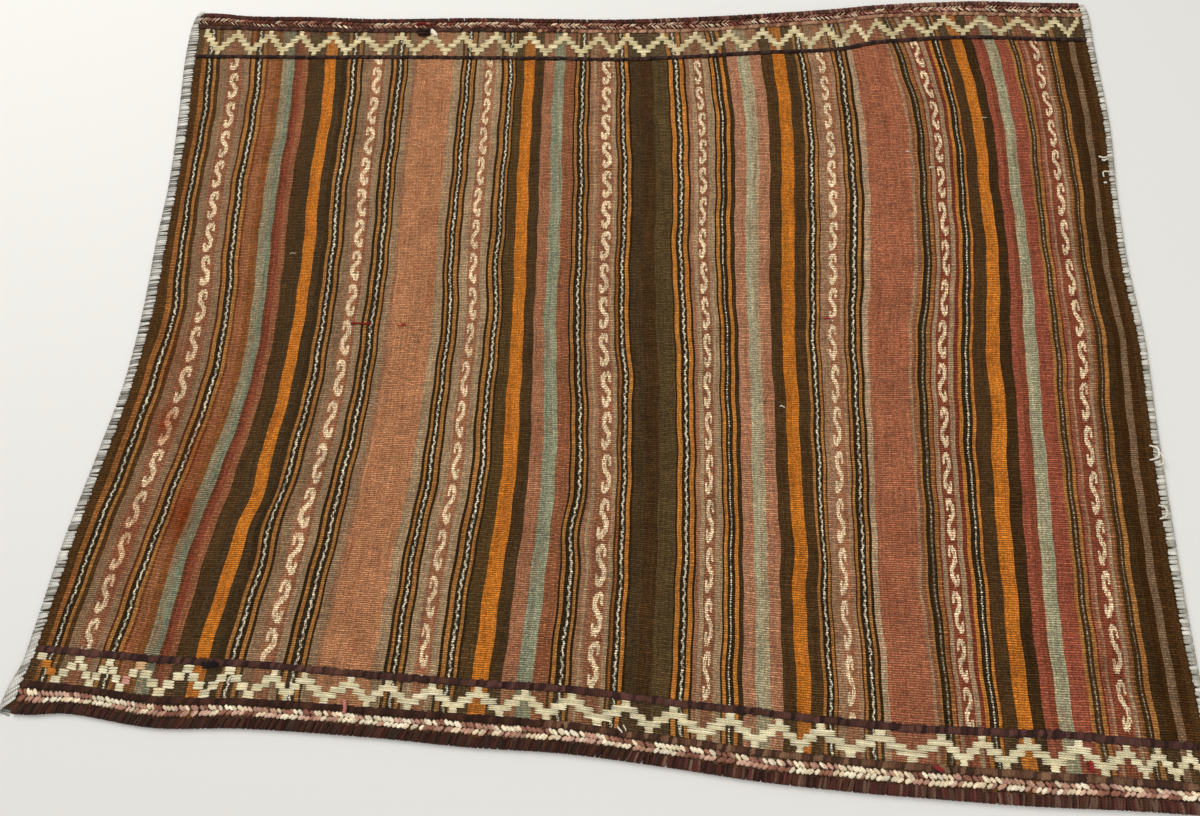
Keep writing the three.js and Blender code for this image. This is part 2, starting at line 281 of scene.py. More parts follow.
# %% Yarns
YARNS = {
    "black": "#2C1F10", "soot": "#3A2A14", "umber": "#4C3116", "bark": "#53391C",
    "earth": "#4E3B23", "peat": "#43311C", "moss": "#5A492A", "wine": "#5C2C1A",
    "loam": "#40270C", "smoke": "#86694B", "taupe": "#8F7255", "stone": "#9C8161",
    "ash": "#A98C69", "drab": "#7C6248", "rust": "#83502A", "brick": "#7E4A2E",
    "clay": "#A06847", "rose": "#9E6E50", "pink": "#B88159", "salmon": "#AE7450",
    "red": "#A65F45", "crimson": "#8C4230", "teal": "#7E8168", "sage": "#ABA280",
    "celadon": "#949476", "orange": "#C87628", "amber": "#BC6E22", "ochre": "#9C6530",
    "gold": "#AD7A42", "blush": "#B98565", "honey": "#BC7833",
}

# %% Stripes
NAMED_PAIRS = {"ink": "black soot", "gilt": "ochre gold", "brass": "gold ochre"}
STRIPE_COLUMNS = ("ends at", "yarns at odd and at even wefts", "pattern")
STRIPES = [
    (-595, "umber bark"), (-589, "umber bark"), (-583, "ochre rust"), (-580, "ink"),
    (-575.7, "ink", "chain"), (-572, "ink"), (-568, "gilt"), (-562, "umber bark"),
    (-551, "smoke taupe"), (-547, "rose brick"), (-534, "brick rose", "figure 1"), (-528, "rose brick"),
    (-519, "taupe"), (-516, "wine umber"), (-511, "gilt"), (-507, "ink"), (-502.2, "ink", "chain"),
    (-500, "ink"), (-496, "gilt"), (-493, "wine rust"), (-483, "rust clay"), (-474.5, "rust"),
    (-466, "teal stone"), (-457.5, "teal"), (-452, "brick wine"), (-445, "crimson brick"),
    (-436, "clay brick"), (-422, "earth umber"), (-409.5, "earth peat"), (-400, "orange amber"),
    (-392.5, "orange"), (-382, "peat earth"), (-374, "peat soot"), (-369.5, "gilt"), (-367, "ink"),
    (-361.7, "ink", "chain"), (-358, "ink"), (-353.5, "gilt"), (-350, "black peat"),
    (-337, "smoke taupe"), (-335, "rose clay"), (-322, "clay rose", "figure 2"), (-318, "rose brick"),
    (-309, "stone taupe"), (-305, "ink"), (-301, "gilt"), (-297, "black peat"),
    (-292.2, "ink", "chain"), (-289, "ink"), (-285, "brass"), (-282.5, "ink"), (-275, "taupe stone"),
    (-269, "taupe clay"), (-256, "salmon pink"), (-240, "pink salmon"), (-226, "salmon pink"),
    (-212.5, "pink salmon"), (-201, "ash stone"), (-197.5, "ink"), (-194.5, "gilt"), (-192, "ink"),
    (-187.7, "ink", "chain"), (-185.5, "ink"), (-181, "gilt"), (-178, "ink"), (-168, "stone ash"),
    (-165, "rose clay"), (-155.5, "clay rose", "figure 3"), (-151.5, "rose clay"),
    (-142.5, "stone ash"), (-139, "ink"), (-134, "brass"), (-131.5, "ink"), (-126.7, "ink", "chain"),
    (-124.5, "ink"), (-121, "brass"), (-118, "ink"), (-103, "moss umber"), (-94, "orange amber"),
    (-84.5, "orange"), (-77, "earth umber"), (-69, "peat earth"), (-60, "clay rose"),
    (-52.5, "rose clay"), (-44, "celadon teal"), (-35.5, "celadon"), (-28, "brick clay"),
    (-19.5, "clay brick"), (-17, "ink"), (-13, "brass"), (-9, "ink"), (-4.2, "ink", "chain"),
    (-2, "ink"), (1, "brass"), (4, "ink"), (9, "taupe clay"), (12, "stone ash"), (16, "taupe clay"),
    (20, "rose brick"), (31.5, "brick rose", "figure 4"), (34, "rose clay"), (38.5, "stone ash"),
    (41, "umber bark"), (43.5, "ochre rust"), (46, "ink"), (50.3, "ink", "chain"), (52, "ink"),
    (56, "honey"), (59, "ink"), (72, "peat earth"), (88, "peat umber"), (98, "moss earth"),
    (108, "earth moss"), (110, "ink"), (115, "honey"), (118, "ink"), (122.3, "ink", "chain"),
    (124, "ink"), (128.5, "honey"), (131, "ink"), (135.5, "rose"), (140, "ash"), (141.5, "rose brick"),
    (149.5, "brick rose", "figure 5"), (152, "rose brick"), (159.5, "ash stone"), (161.5, "ink"),
    (165, "honey"), (167, "ink"), (170, "ink", "dots"), (173, "ink"), (177, "honey"),
    (182, "peat soot"), (188, "rose blush"), (194.5, "clay blush"), (202, "sage"), (209, "sage ash"),
    (221.5, "clay blush"), (235, "earth umber"), (242, "amber"), (249.5, "orange amber"),
    (262.5, "earth umber"), (265.5, "brass"), (268, "ink"), (271.8, "ink", "chain"), (273.5, "ink"),
    (276, "brass"), (277.5, "umber bark"), (282, "rose stone"), (286, "stone rose"),
    (294, "rose clay", "figure 6"), (297.5, "rose clay"), (301.8, "ash rose"), (303.5, "wine umber"),
    (306, "brass"), (309, "ink"), (312.8, "ink", "chain"), (314.5, "ink"), (317.5, "brass"),
    (320.5, "ink"), (326.5, "blush sage"), (340, "red clay"), (354, "red clay"), (368.5, "clay red"),
    (372, "ash rose"), (376.5, "brick rose"), (379, "gilt"), (383, "ink"),
    (387.3, "soot umber", "specks"), (389, "ink"), (393, "rust gold"), (395, "wine crimson"),
    (399.5, "ash stone"), (402, "crimson brick"), (411, "crimson brick", "figure 7"),
    (413, "crimson brick"), (418.5, "stone ash"), (423, "wine crimson"), (427, "honey"), (430.5, "ink"),
    (434.3, "ink", "dots"), (436.5, "ink"), (439.5, "honey"), (441.5, "wine umber"),
    (454.5, "earth umber"), (462, "orange amber"), (469.5, "orange"), (482.5, "loam peat"),
    (490, "red crimson"), (497, "crimson brick"), (504, "sage"), (511.5, "sage celadon"),
    (520, "crimson red"), (528.5, "crimson red"), (532, "brass"), (534, "umber soot"),
    (537.3, "umber bark", "specks"), (539, "umber soot"), (542.5, "brass"), (544.5, "wine crimson"),
    (548, "rose crimson"), (550.5, "ash rose"), (556, "crimson brick"),
    (564.5, "crimson brick", "figure 8"), (566.5, "crimson rose"), (570, "ash stone"),
    (573, "rose brick"), (575, "ochre umber"), (578, "umber soot"), (580, "umber bark", "specks"),
    (582, "umber soot"), (587, "brass"), (595, "loam peat"), (602.5, "loam"), (610, "drab"),
    (618, "umber loam"), (625.5, "umber bark"),
]
FIRST_WARP, LAST_WARP = -599, 625.5

edges_of_stripes, yarn_pairs, patterns = [FIRST_WARP], [], []
for ends_at, pair, *pattern in STRIPES:
    edges_of_stripes.append(ends_at)
    yarns = NAMED_PAIRS.get(pair, pair).split()
    yarn_pairs.append((yarns[0], yarns[-1]))
    patterns.append(pattern[0] if pattern else "plain")
print("stripes:", len(STRIPES), "of them patterned:", sum(p != "plain" for p in patterns))
assert all(b > a for a, b in zip(edges_of_stripes, edges_of_stripes[1:]))

# %% [markdown]
# ## How the stripes run
# On the loom the stripes are straight, but a used rug has stretched, so they sway. Bending
# the finished cloth with a lattice would bend the border too. Instead, a few guiding warps are
# followed along the rug, and every other stripe keeps its share between its two guides. Small
# sways, a few kinks and a slight tremble are then added to that.

# %% Guiding warps
GUIDE_WARPS = (-599, -503.5, -293.5, -129, -5, 49.5, 168, 310.5, 386, 432, 579, 625.5)
GUIDE_ROWS = {
    -480: (-615, -521, -303, -131, -11, 47, 171, 316, 391, 437, 585, 630),
    -400: (-605, -515, -301.5, -130, -10.5, 48, 170, 317, 391, 433.5, 582, 630.5),
    -300: GUIDE_WARPS,
    -200: (-588, -490, -288, -121.5, -5.5, 46, 166.5, 311, 386, 431.5, 580.5, 624.5),
    -100: (-579, -476.5, -281.5, -125.5, -13.5, 41, 162, 310.5, 387, 432.5, 582.5, 626.5),
    0: (-578, -479, -285, -127.5, -25.5, 31.5, 160, 311, 389, 439, 585, 628.5),
    100: (-585.5, -491.5, -289.5, -135.5, -29.5, 27, 152.5, 313.5, 402, 448.5, 583.5, 623),
    200: (-593.5, -504.5, -298, -141.5, -35, 24.5, 151.5, 316.5, 403.5, 448.5, 583, 624),
    300: (-603.5, -509.5, -305.5, -146, -42, 15.5, 147.5, 312, 402, 449, 583, 628),
    395: (-618, -519, -308, -149.5, -44, 10.5, 138, 305, 388, 438, 579, 624),
    480: (-628, -532, -314, -155, -49, 1, 125, 292, 366, 420, 569, 621),
}
GUIDE_PLACES = np.array(sorted(GUIDE_ROWS), float)
GUIDES = np.array([GUIDE_ROWS[y] for y in sorted(GUIDE_ROWS)], float)
SWAY_ROWS = (-400, -300, -200, -100, 0, 100, 200, 300, 400)
SWAYS = {
    -599: (0, 0, 0, 0, 0, 0, 0, 0, 0),
    -578: (0, 2, 3.5, 2.5, 5.5, 1, 0, 2, 2),
    -503.5: (3, 2.5, 3, 2.5, 2.5, 0.5, 2, 2.5, 2),
    -466.5: (10, 3, 7.5, 8.5, 9, 8, 10, 10, 7.5),
    -400.5: (1, 2.5, 4.5, 1, 3.5, 6, 5.5, 8, 5),
    -363.5: (0, 0.5, 2, 1, 2, 3.5, 3.5, 6, 3),
    -293.5: (1.5, 1.5, 2.5, 1, 2, 2.5, 2.5, 4, 1.5),
    -190: (3.5, 0.5, 0.5, 0, 1, -3, 0, 0.5, 0),
    -129: (0, 1.5, 1, 0.5, 1.5, 2, 2.5, 4, 2),
    -94: (1.5, 1.5, 0, 1, 1, 1, -1, -1, -2),
    -44: (1.5, 1, 0.5, 1.5, 0, 1.5, 1.5, 0, -1.5),
    -6.5: (4, 0, 2.5, 2.5, 4, 2.5, 2.5, 2, 0),
    48: (2.5, 0.5, 1.5, 2, 1.5, 1.5, 1.5, 1.5, 0),
    120: (-1.5, -0.5, 0, 0.5, 0, -2, -3, -3, -4.5),
    168.5: (-1.5, 1, 0, 0, -1, -0.5, -1, 0, -1),
    202: (-0.5, 0.5, -2, -0.5, -4, -2, -2, 0.5, -2),
    242: (-1, -1, -2, -3, -6, -3.5, -4, -1.5, -1.5),
    269.7: (-2.5, -1, -3.5, -3.5, -6.5, -4.5, -6, -2.5, -3.5),
    311: (-2, 0, -1, -1, -3, -1, -1, -1, -1),
    370: (2, 0, 2, 0.5, 2, 3, 4, 5, 2),
    385: (-0.5, -0.5, -0.5, -1, 0.5, 0, -0.5, 1, -1),
    432: (-1, -1, -1, -1, -1, -2, 0, -1, -1),
    462: (-1.5, -1, -1, 2, -0.5, 1.5, 0, -1, -3),
    504: (-4, -2.5, 0, 1, 0, -0.5, -1.5, -2, -2),
    535.5: (-3.5, -2, -2, -3, -2, -4, -4, -2, -4),
    579: (-1, 0, -1.5, -2.5, 2, -1.5, 2, 0, 0),
    625.5: (0, 0, 0, 0, 0, 0, 0, 0, 0),
}
SWAY_WARPS = sorted(SWAYS)
STILL_EDGE = 20
KINK_COLUMNS = ("warp", "y", "shift", "wide", "long")
KINKS = [
    (-400, -228, 4, 46, 42),
    (-360, -264, -4, 42, 46),
    (-6, -252, -5, 38, 52),
    (-129, 72, -3, 28, 40),
    (242, -258, 4.5, 46, 52),
    (-590, -10, 2.5, 32, 60),
    (60, -55, 2.5, 42, 52),
    (462, -95, 2.5, 42, 50),
    (385, 52, 2, 32, 50),
]
TREMBLE_COLUMNS = ("size", "along", "across", "turn")
TREMBLES = [(0.5, 9.7, 23, 0), (0.4, 17.3, -31, 1.7)]


def between(known, curves, places, warp, y):
    """The value for a warp from the curves of the two known warps beside it."""
    k = int(np.clip(np.searchsorted(known, warp, side="right") - 1, 0, len(known) - 2))
    left, right = (smooth_curve(places, curves[i], y) for i in (k, k + 1))
    return left + (right - left) * (warp - known[k]) / (known[k + 1] - known[k])


def sway_at(warp, y):
    """How far a warp has shifted sideways from the guides, in millimetres."""
    shift = between(SWAY_WARPS, [SWAYS[known] for known in SWAY_WARPS], SWAY_ROWS, warp, y)
    for kink_warp, kink_y, kink, wide, long in KINKS:
        shift = shift + kink * hump(warp - kink_warp, y - kink_y, wide, long)
    tremble = sum(size * np.sin(y / along + warp / across + turn) for size, along, across, turn in TREMBLES)
    return shift + tremble * min(1.0, (warp - FIRST_WARP) / STILL_EDGE, (LAST_WARP - warp) / STILL_EDGE)


def warp_place(warp, y):
    """Where a warp, named by its place at y = -300, lies at another distance along the rug."""
    return between(GUIDE_WARPS, GUIDES.T, GUIDE_PLACES, warp, y) + sway_at(warp, y)


print("the dark middle stripe at the far end starts at", round(float(warp_place(58, 400.0)), 1), "mm")

# %% [markdown]
# ## The woven panel
# The cloth starts as a flat grid with one column of faces for each stripe, so that every
# stripe's edge is an edge of the mesh and stays sharp as it sways. The grid's points are
# then moved to where their warp and weft lie, and Solidify gives the cloth its thickness.
# Each face carries the colours of its two yarns, a map that counts warps and wefts in
# millimetres, and a second map for the woven figures.

# %% Grid of warps and wefts
WEFT_ROWS = 168
PANEL_LONG = 980.0
EDGE_ROUNDS = 4
EDGE_WARPS_LEFT, EDGE_WARPS_RIGHT, EDGE_WARP_WIDE = 2, 1, 6.0
warps = np.array(edges_of_stripes, float)
columns = EDGE_WARPS_LEFT + len(STRIPES) + EDGE_WARPS_RIGHT

nothing_selected()
bpy.ops.mesh.primitive_grid_add(x_subdivisions=columns, y_subdivisions=WEFT_ROWS, size=1)
cloth = bpy.context.object
cloth.name = "striped_cloth"
cloth.data.name = "striped_cloth"
flat = np.zeros(len(cloth.data.vertices) * 3)
cloth.data.vertices.foreach_get("co", flat)
flat = flat.reshape(-1, 3)
column_of = np.round((flat[:, 0] + 0.5) * columns).astype(int)
row_of = np.round((flat[:, 1] + 0.5) * WEFT_ROWS).astype(int)
share_along = row_of / WEFT_ROWS


def cloth_points():
    """Place of every point of the grid on the rug, in millimetres. A point's x and y depend on
    each other through the curved edges, so both are worked out a few times over."""
    x = np.zeros(len(flat))
    y = np.zeros(len(flat))
    for _ in range(EDGE_ROUNDS):
        near = end_line("near", "edge", x) + CLOTH_IN
        far = end_line("far", "edge", x) - CLOTH_IN
        y = near + (far - near) * share_along
        left = selvedge("left_outer", y) + CLOTH_IN
        right = selvedge("right_outer", y) - CLOTH_IN
        for column in range(columns + 1):
            here = column_of == column
            if column < EDGE_WARPS_LEFT:
                first = warp_place(FIRST_WARP, y[here])
                x[here] = left[here] + (first - left[here]) * column / EDGE_WARPS_LEFT
            elif column == columns:
                x[here] = right[here]
            else:
                x[here] = warp_place(warps[column - EDGE_WARPS_LEFT], y[here])
    return np.stack([x, y, cloth_top(x, y)], axis=1)


cloth_at = cloth_points()
cloth.data.vertices.foreach_set("co", (cloth_at * MM).ravel())
print("grid:", columns, "columns by", WEFT_ROWS, "rows; x", cloth_at[:, 0].min(), cloth_at[:, 0].max())

# %% [markdown]
# ## Woven figures
# Eight stripes hold a row of small S figures in cream. They are charted on squares, as a
# weaver charts them, and the chart is read by the material. What differs from stripe to
# stripe is where the row starts and ends, how far its middle has shifted, and whether the
# figure is turned over, so that is all the table holds.

# %% Places of the figures
FIGURE_COLUMNS = ("number", "turned over", "centres of the figures 1, 5, 9, 13 and 17")
FIGURES = [
    (1, False, (-407, -207, 10, 210, 408)),
    (2, True, (-407, -191, 25, 217, 418)),
    (3, True, (-390, -180, 25, 220, 412)),
    (4, False, (-397, -187, 17, 202, 382)),
    (5, False, (-400, -182, 20, 210, 382)),
    (6, False, (-395, -172, 37, 222, 400)),
    (7, True, (-415, -220, -5, 212, 412)),
    (8, False, (-400, -182, 27, 240, 420)),
]
FIGURES_IN_A_ROW = 17
FIGURE_CHART = [
    "..####.",
    ".######",
    "####.##",
    "###..##",
    "###..##",
    "###....",
    "####...",
    ".####..",
    "..####.",
    "...####",
    "....###",
    "....###",
    "##..###",
    "##.####",
    "######.",
    "#####..",
    ".###...",
]
CHART_ROWS, CHART_COLUMNS = len(FIGURE_CHART) + 2, len(FIGURE_CHART[0])


def figure_count(number, y):
    """How many figures, and what share of the next, lie before a place along the rug."""
    known = FIGURES[number - 1][2]
    counts = np.arange(FIGURES_IN_A_ROW)
    centres = smooth_curve(np.linspace(0, FIGURES_IN_A_ROW - 1, len(known)), known, counts)
    start, end = centres[1] - centres[0], centres[-1] - centres[-2]
    places = np.concatenate([[centres[0] - 2 * start], centres, [centres[-1] + 2 * end]])
    numbers = np.concatenate([[-2], counts, [FIGURES_IN_A_ROW + 1]])
    return np.interp(y, places, numbers) + 0.5


print("figures before the middle of the first row:", round(float(figure_count(1, 0.0)), 2))

# %% Yarn colours and maps on the cloth
mesh = cloth.data
corner_points = np.zeros(len(mesh.loops), int)
mesh.loops.foreach_get("vertex_index", corner_points)
corner_faces = np.repeat(np.arange(len(mesh.polygons)), 4)
face_column = np.full(len(mesh.polygons), columns)
np.minimum.at(face_column, corner_faces, column_of[corner_points])
stripe_of_face = np.clip(face_column - EDGE_WARPS_LEFT, 0, len(STRIPES) - 1)

FIBRES_MINGLE = 0.28
for name, pick in (("odd_yarn", 0), ("even_yarn", 1)):
    own = np.array([linear(YARNS[pair[pick]]) for pair in yarn_pairs])
    other = np.array([linear(YARNS[pair[1 - pick]]) for pair in yarn_pairs])
    colours = own + (other - own) * FIBRES_MINGLE
    attribute = mesh.attributes.new(name, "FLOAT_COLOR", "CORNER")
    attribute.data.foreach_set("color", colours[stripe_of_face][corner_faces].ravel())

warp_at_point = np.interp(column_of - EDGE_WARPS_LEFT, np.arange(len(warps)), warps)
warp_at_point -= EDGE_WARP_WIDE * np.maximum(EDGE_WARPS_LEFT - column_of, 0)
warp_at_point += EDGE_WARP_WIDE * np.maximum(column_of - EDGE_WARPS_LEFT - len(STRIPES), 0)
weave_map = mesh.uv_layers[0]
weave_map.name = "weave"
weave_uv = np.stack([warp_at_point, share_along * PANEL_LONG], axis=1) * MM
weave_map.data.foreach_set("uv", weave_uv[corner_points].ravel())

CHAIN_FROM, DOTS_FROM = 10.0, 20.0
NOT_SPECKS, SPECKS_AT = -5.0, -6.0
NEAR_FADING = 0.6
pattern_map = mesh.uv_layers.new(name="pattern")
pattern_uv = np.full((len(mesh.loops), 2), NOT_SPECKS)
corner_at = cloth_at[corner_points]
on_right = column_of[corner_points] > face_column[corner_faces]
face_x, face_y, _ = corner_at.reshape(-1, 4, 3).mean(axis=1).T
in_border, past_line = (
    (face_y > end_line("far", line, face_x)) | (face_y < end_line("near", line, face_x))
    for line in ("inner", "outer")
)
for stripe_number, pattern in enumerate(patterns):
    here = stripe_of_face[corner_faces] == stripe_number
    if pattern.startswith("figure"):
        here &= ~in_border[corner_faces]
        figure_number = int(pattern.split()[1])
        turned = FIGURES[figure_number - 1][1]
        pattern_uv[here, 0] = on_right[here] != turned
        pattern_uv[here, 1] = figure_count(figure_number, corner_at[here, 1])
    elif pattern != "plain":
        here &= ~past_line[corner_faces]
        pattern_uv[here, 0] = (CHAIN_FROM if pattern == "chain" else DOTS_FROM) + on_right[here]
        pattern_uv[here, 1] = SPECKS_AT if pattern == "specks" else NOT_SPECKS
pattern_map.data.foreach_set("uv", pattern_uv.ravel())

# The border's value is 0 in the field, up to 1 between the two lines, and 1 more past the outer.
border = mesh.attributes.new("border", "FLOAT", "CORNER")
fading = np.where(face_y > 0, 1.0, NEAR_FADING)
border.data.foreach_set("value", (in_border * fading + past_line)[corner_faces])
STAIN_COLUMNS = ("x", "y", "wide", "long", "strength")
STAINS = [
    (-525, -152, 16, 26, 0.9),
    (-478, -180, 12, 40, 0.55),
    (-474, -262, 14, 30, 0.9),
    (-533, -300, 14, 60, 0.5),
    (-535, 450, 4, 26, 0.8),
    (-530, -60, 16, 50, 0.45),
    (-210, 90, 5, 40, 0.5),
]
stain = np.zeros(len(flat))
for x, y, wide, long, strength in STAINS:
    d = ((cloth_at[:, 0] - x) / wide) ** 2 + ((cloth_at[:, 1] - y) / long) ** 2
    stain = np.maximum(stain, strength * np.exp(-d))
mesh.attributes.new("stain", "FLOAT", "POINT").data.foreach_set("value", stain)
print("attributes:", [a.name for a in mesh.attributes if not a.name.startswith(".")])

# %% Thickness of the cloth
solidify = cloth.modifiers.new("thickness", "SOLIDIFY")
solidify.thickness = CLOTH_THICK * MM
solidify.offset = -1.0
bpy.context.view_layer.objects.active = cloth
bpy.ops.object.modifier_apply(modifier=solidify.name)
bpy.ops.object.shade_smooth_by_angle(angle=math.radians(40))
print("cloth faces:", len(cloth.data.polygons))

# %% [markdown]
# ## Material of the cloth
# Handspun wool has little gloss, an uneven dye and a surface of small ribs: one rib for
# each weft, about 2.4 mm apart, crossed by warps a millimetre thick. The shades could be
# painted on an image, but procedural nodes stay sharp at any distance. The chain is: choose
# the odd or even yarn, lay the figures over it, vary the dye along each warp, then paint
# shade into the grooves between the ribs and a highlight on their crests.

# %% Helpers for the cloth's pattern
WEFT_PITCH = 2.36
WARP_PITCH = 1.05
# How far the white yarn swings over and back at each weft, as a share of one full swing.
CHAIN_TURNS, DOT_TURNS, SPECK_TURNS = 0.21, 1.0, 0.45


def figure_mask(add, across, count):
    """1 where the charted figure is, from its map's two directions."""
    column = add("Math", (across, float(CHART_COLUMNS)), "MULTIPLY")
    column = add("Math", (column,), "FLOOR")
    inside = add("Math", (count,), "FRACT")
    total = None
    for number in range(CHART_COLUMNS):
        ramp = add("ValToRGB", (inside,))
        ramp.color_ramp.interpolation = "CONSTANT"
        marks = [False] + [row[number] == "#" for row in reversed(FIGURE_CHART)] + [False]
        ramp.color_ramp.elements[1].color = ramp.color_ramp.elements[0].color
        for row in range(1, CHART_ROWS):
            if marks[row] != marks[row - 1]:
                step = ramp.color_ramp.elements.new(row / CHART_ROWS)
                step.color = (marks[row], marks[row], marks[row], 1)
        chosen = add("Math", (column, float(number), 0.5), "COMPARE")
        part = add("Math", (chosen, ramp), "MULTIPLY")
        total = part if total is None else add("Math", (total, part), "ADD")
    return total


def chain_mask(add, across, kind, picks, raggedness):
    """1 on the white yarn of a chain or dotted line, less on the faint specks of a worn one."""
    is_specks = add("Math", (kind, (SPECKS_AT + NOT_SPECKS) / 2), "LESS_THAN")
    is_dots = add("Math", (across, DOTS_FROM - 1), "GREATER_THAN")
    is_any = add("Math", (across, CHAIN_FROM - 1), "GREATER_THAN")
    place = add("Math", (is_dots, CHAIN_FROM - DOTS_FROM, across), "MULTIPLY_ADD")
    place = add("Math", (place, CHAIN_FROM), "SUBTRACT")
    turns = add("Math", (is_dots, DOT_TURNS - CHAIN_TURNS, CHAIN_TURNS), "MULTIPLY_ADD")
    turns = add("Mix", {0: is_specks, 2: turns, 3: SPECK_TURNS})
    turns = add("Math", (turns, picks), "MULTIPLY")
    swing = add("Math", (turns, 0.5), "PINGPONG")
    side = add("Math", (swing, 4.0, -1.0), "MULTIPLY_ADD")
    reach = add("Math", (is_dots, -0.2, 0.2), "MULTIPLY_ADD")
    centre = add("Math", (side, reach, 0.5), "MULTIPLY_ADD")
    away = add("Math", (place, centre), "SUBTRACT")
    away = add("Math", (away,), "ABSOLUTE")
    thinner = add("Math", (is_dots, -0.06, -0.25), "MULTIPLY_ADD")
    half = add("Math", (raggedness, 1.0, thinner), "MULTIPLY_ADD")
    edge = add("Math", (half, away), "SUBTRACT")
    body = add("MapRange", (edge, -0.07, 0.08, 0.0, 1.0))
    turn = add("Math", (side,), "ABSOLUTE")
    chain = add("MapRange", (turn, 0.8, 1.0, 1.0, 0.7))
    dots = add("MapRange", (side, -0.7, 0.1, 0.25, 1.0))
    along = add("Mix", {0: is_dots, 2: chain, 3: dots})
    shown = add("Math", (body, along), "MULTIPLY")
    strength = add("MapRange", (is_specks, 0.0, 1.0, 1.0, 0.5))
    shown = add("Math", (shown, strength), "MULTIPLY")
    return add("Math", (shown, is_any), "MULTIPLY")


print("rows in the figure's chart:", CHART_ROWS, "for a repeat of about 51 mm")

# %% Warp-faced wool
def striped_wool():
    """Warp-faced handspun wool: ribbed, matt, its dye uneven along each warp. The map is turned
    to millimetres, so a noise of scale 0.42 has specks of about 2.4 mm, as wide as one rib."""
    made, add, shader = new_material("warp_faced_handspun_wool")
    weave = add("UVMap", uv_map="weave")
    in_mm = add("VectorMath", {0: weave, "Scale": 1000.0}, "SCALE")
    wander = add("TexNoise", {"Vector": in_mm, "Scale": 0.2, "Detail": 2.0})
    shift = add("VectorMath", (wander.outputs["Color"], (0.5, 0.5, 0.5)), "SUBTRACT")
    threads = add("VectorMath", (shift, (1.6, 2.4, 0.0), in_mm), "MULTIPLY_ADD")
    place = add("SeparateXYZ", (threads,))
    picks = add("Math", (place.outputs["Y"], WEFT_PITCH), "DIVIDE")
    ends = add("Math", (place.outputs["X"], WARP_PITCH), "DIVIDE")
    half_picks = add("Math", (picks, 0.5), "MULTIPLY")
    half_picks = add("Math", (half_picks,), "FRACT")
    even = add("Math", (half_picks, 0.5), "GREATER_THAN")
    odd_yarn = add("Attribute", attribute_name="odd_yarn")
    even_yarn = add("Attribute", attribute_name="even_yarn")
    ground = add("Mix", {0: even, 6: odd_yarn, 7: even_yarn}, data_type="RGBA").outputs[2]

    # Each float of a warp over a weft takes the dye a little differently.
    staggered = add("Math", (even, 0.5, ends), "MULTIPLY_ADD")
    which_end = add("Math", (staggered,), "FLOOR")
    which_pick = add("Math", (picks,), "FLOOR")
    cell = add("CombineXYZ", (which_end, which_pick))
    float_chance = add("TexWhiteNoise", {"Vector": cell}, noise_dimensions="2D")
    float_tone = add("MapRange", (float_chance, 0.0, 1.0, 0.7, 1.3))
    float_missing = add("SeparateColor", (float_chance.outputs["Color"],)).outputs["Green"]
    float_shows = add("MapRange", (float_missing, 0.14, 0.24, 0.3, 1.0))

    # The dye drifts in long streaks along the warps, and in broad patches over the rug.
    along_warp = add("VectorMath", (in_mm, (0.5, 0.012, 1.0)), "MULTIPLY")
    streak = add("TexNoise", {"Vector": along_warp, "Scale": 1.0, "Detail": 3.0})
    streaks = add("MapRange", (streak, 0.28, 0.72, 0.74, 1.26))
    patch = add("TexNoise", {"Vector": in_mm, "Scale": 0.02, "Detail": 3.0})
    patches = add("MapRange", (patch, 0.35, 0.65, 0.9, 1.1))
    speckle = add("TexNoise", {"Vector": in_mm, "Scale": 0.42, "Detail": 3.0})
    speckles = add("MapRange", (speckle, 0.3, 0.7, 0.8, 1.2))
    blush_place = add("VectorMath", (in_mm, (0.09, 0.018, 1.0)), "MULTIPLY")
    blush = add("TexNoise", {"Vector": blush_place, "Scale": 1.0, "Detail": 4.0})
    redder = add("MapRange", (blush, 0.5, 0.72, 0.0, 0.32))
    lightness = add("SeparateColor", (ground,))
    not_dark = add("MapRange", (lightness, 0.05, 0.25, 0.0, 1.0))
    redder = add("Math", (redder, not_dark), "MULTIPLY")

    # In the border the ground is faded, and under the braid it is darkened as painted shade.
    border = add("Attribute", attribute_name="border").outputs["Fac"]
    inside = add("Math", (border, 1.0), "MINIMUM")
    fading = add("MapRange", (speckle, 0.35, 0.65, 0.15, 0.55))
    faded = add("Math", (inside, fading), "MULTIPLY")
    past_line = add("Math", (border, 1.0), "SUBTRACT")

    # The figures and the chains are frayed, and some of their floats are missing.
    pattern = add("UVMap", uv_map="pattern")
    ragged = add("TexNoise", {"Vector": in_mm, "Scale": 0.5, "Detail": 2.0})
    loose = add("VectorMath", (ragged.outputs["Color"], (0.5, 0.5, 0.5)), "SUBTRACT")
    frayed = add("VectorMath", (loose, (0.42, 0.08, 0.0), pattern), "MULTIPLY_ADD")
    on_chart = add("SeparateXYZ", (frayed,))
    figures = figure_mask(add, on_chart.outputs["X"], on_chart.outputs["Y"])
    worn = add("MapRange", (speckle, 0.28, 0.42, 0.35, 1.0))
    for tone in (worn, float_shows):
        figures = add("Math", (figures, tone), "MULTIPLY")
    line = add("SeparateXYZ", (pattern,))
    chains = chain_mask(add, line.outputs["X"], line.outputs["Y"], picks, ragged)
    chain_shows = add("MapRange", (float_missing, 0.26, 0.4, 0.22, 1.0))
    chains = add("Math", (chains, chain_shows), "MULTIPLY")

    # Each layer covers its share of those before: madder that has run, the border's straw,
    # a dark brown that is painted shade under the braid, the cream of the figures and the white of the
    # chains.
    layers = [(redder, "#8A3E26"), (faded, "#6A5A42"), (past_line, "#4A2E20")]
    layers += [(figures, "#EFD4AA"), (chains, "#E2D5B8")]
    cloth_dye = ground
    for share, dye in layers:
        cloth_dye = add("Mix", {0: share, 6: cloth_dye, 7: linear(dye)}, data_type="RGBA").outputs[2]

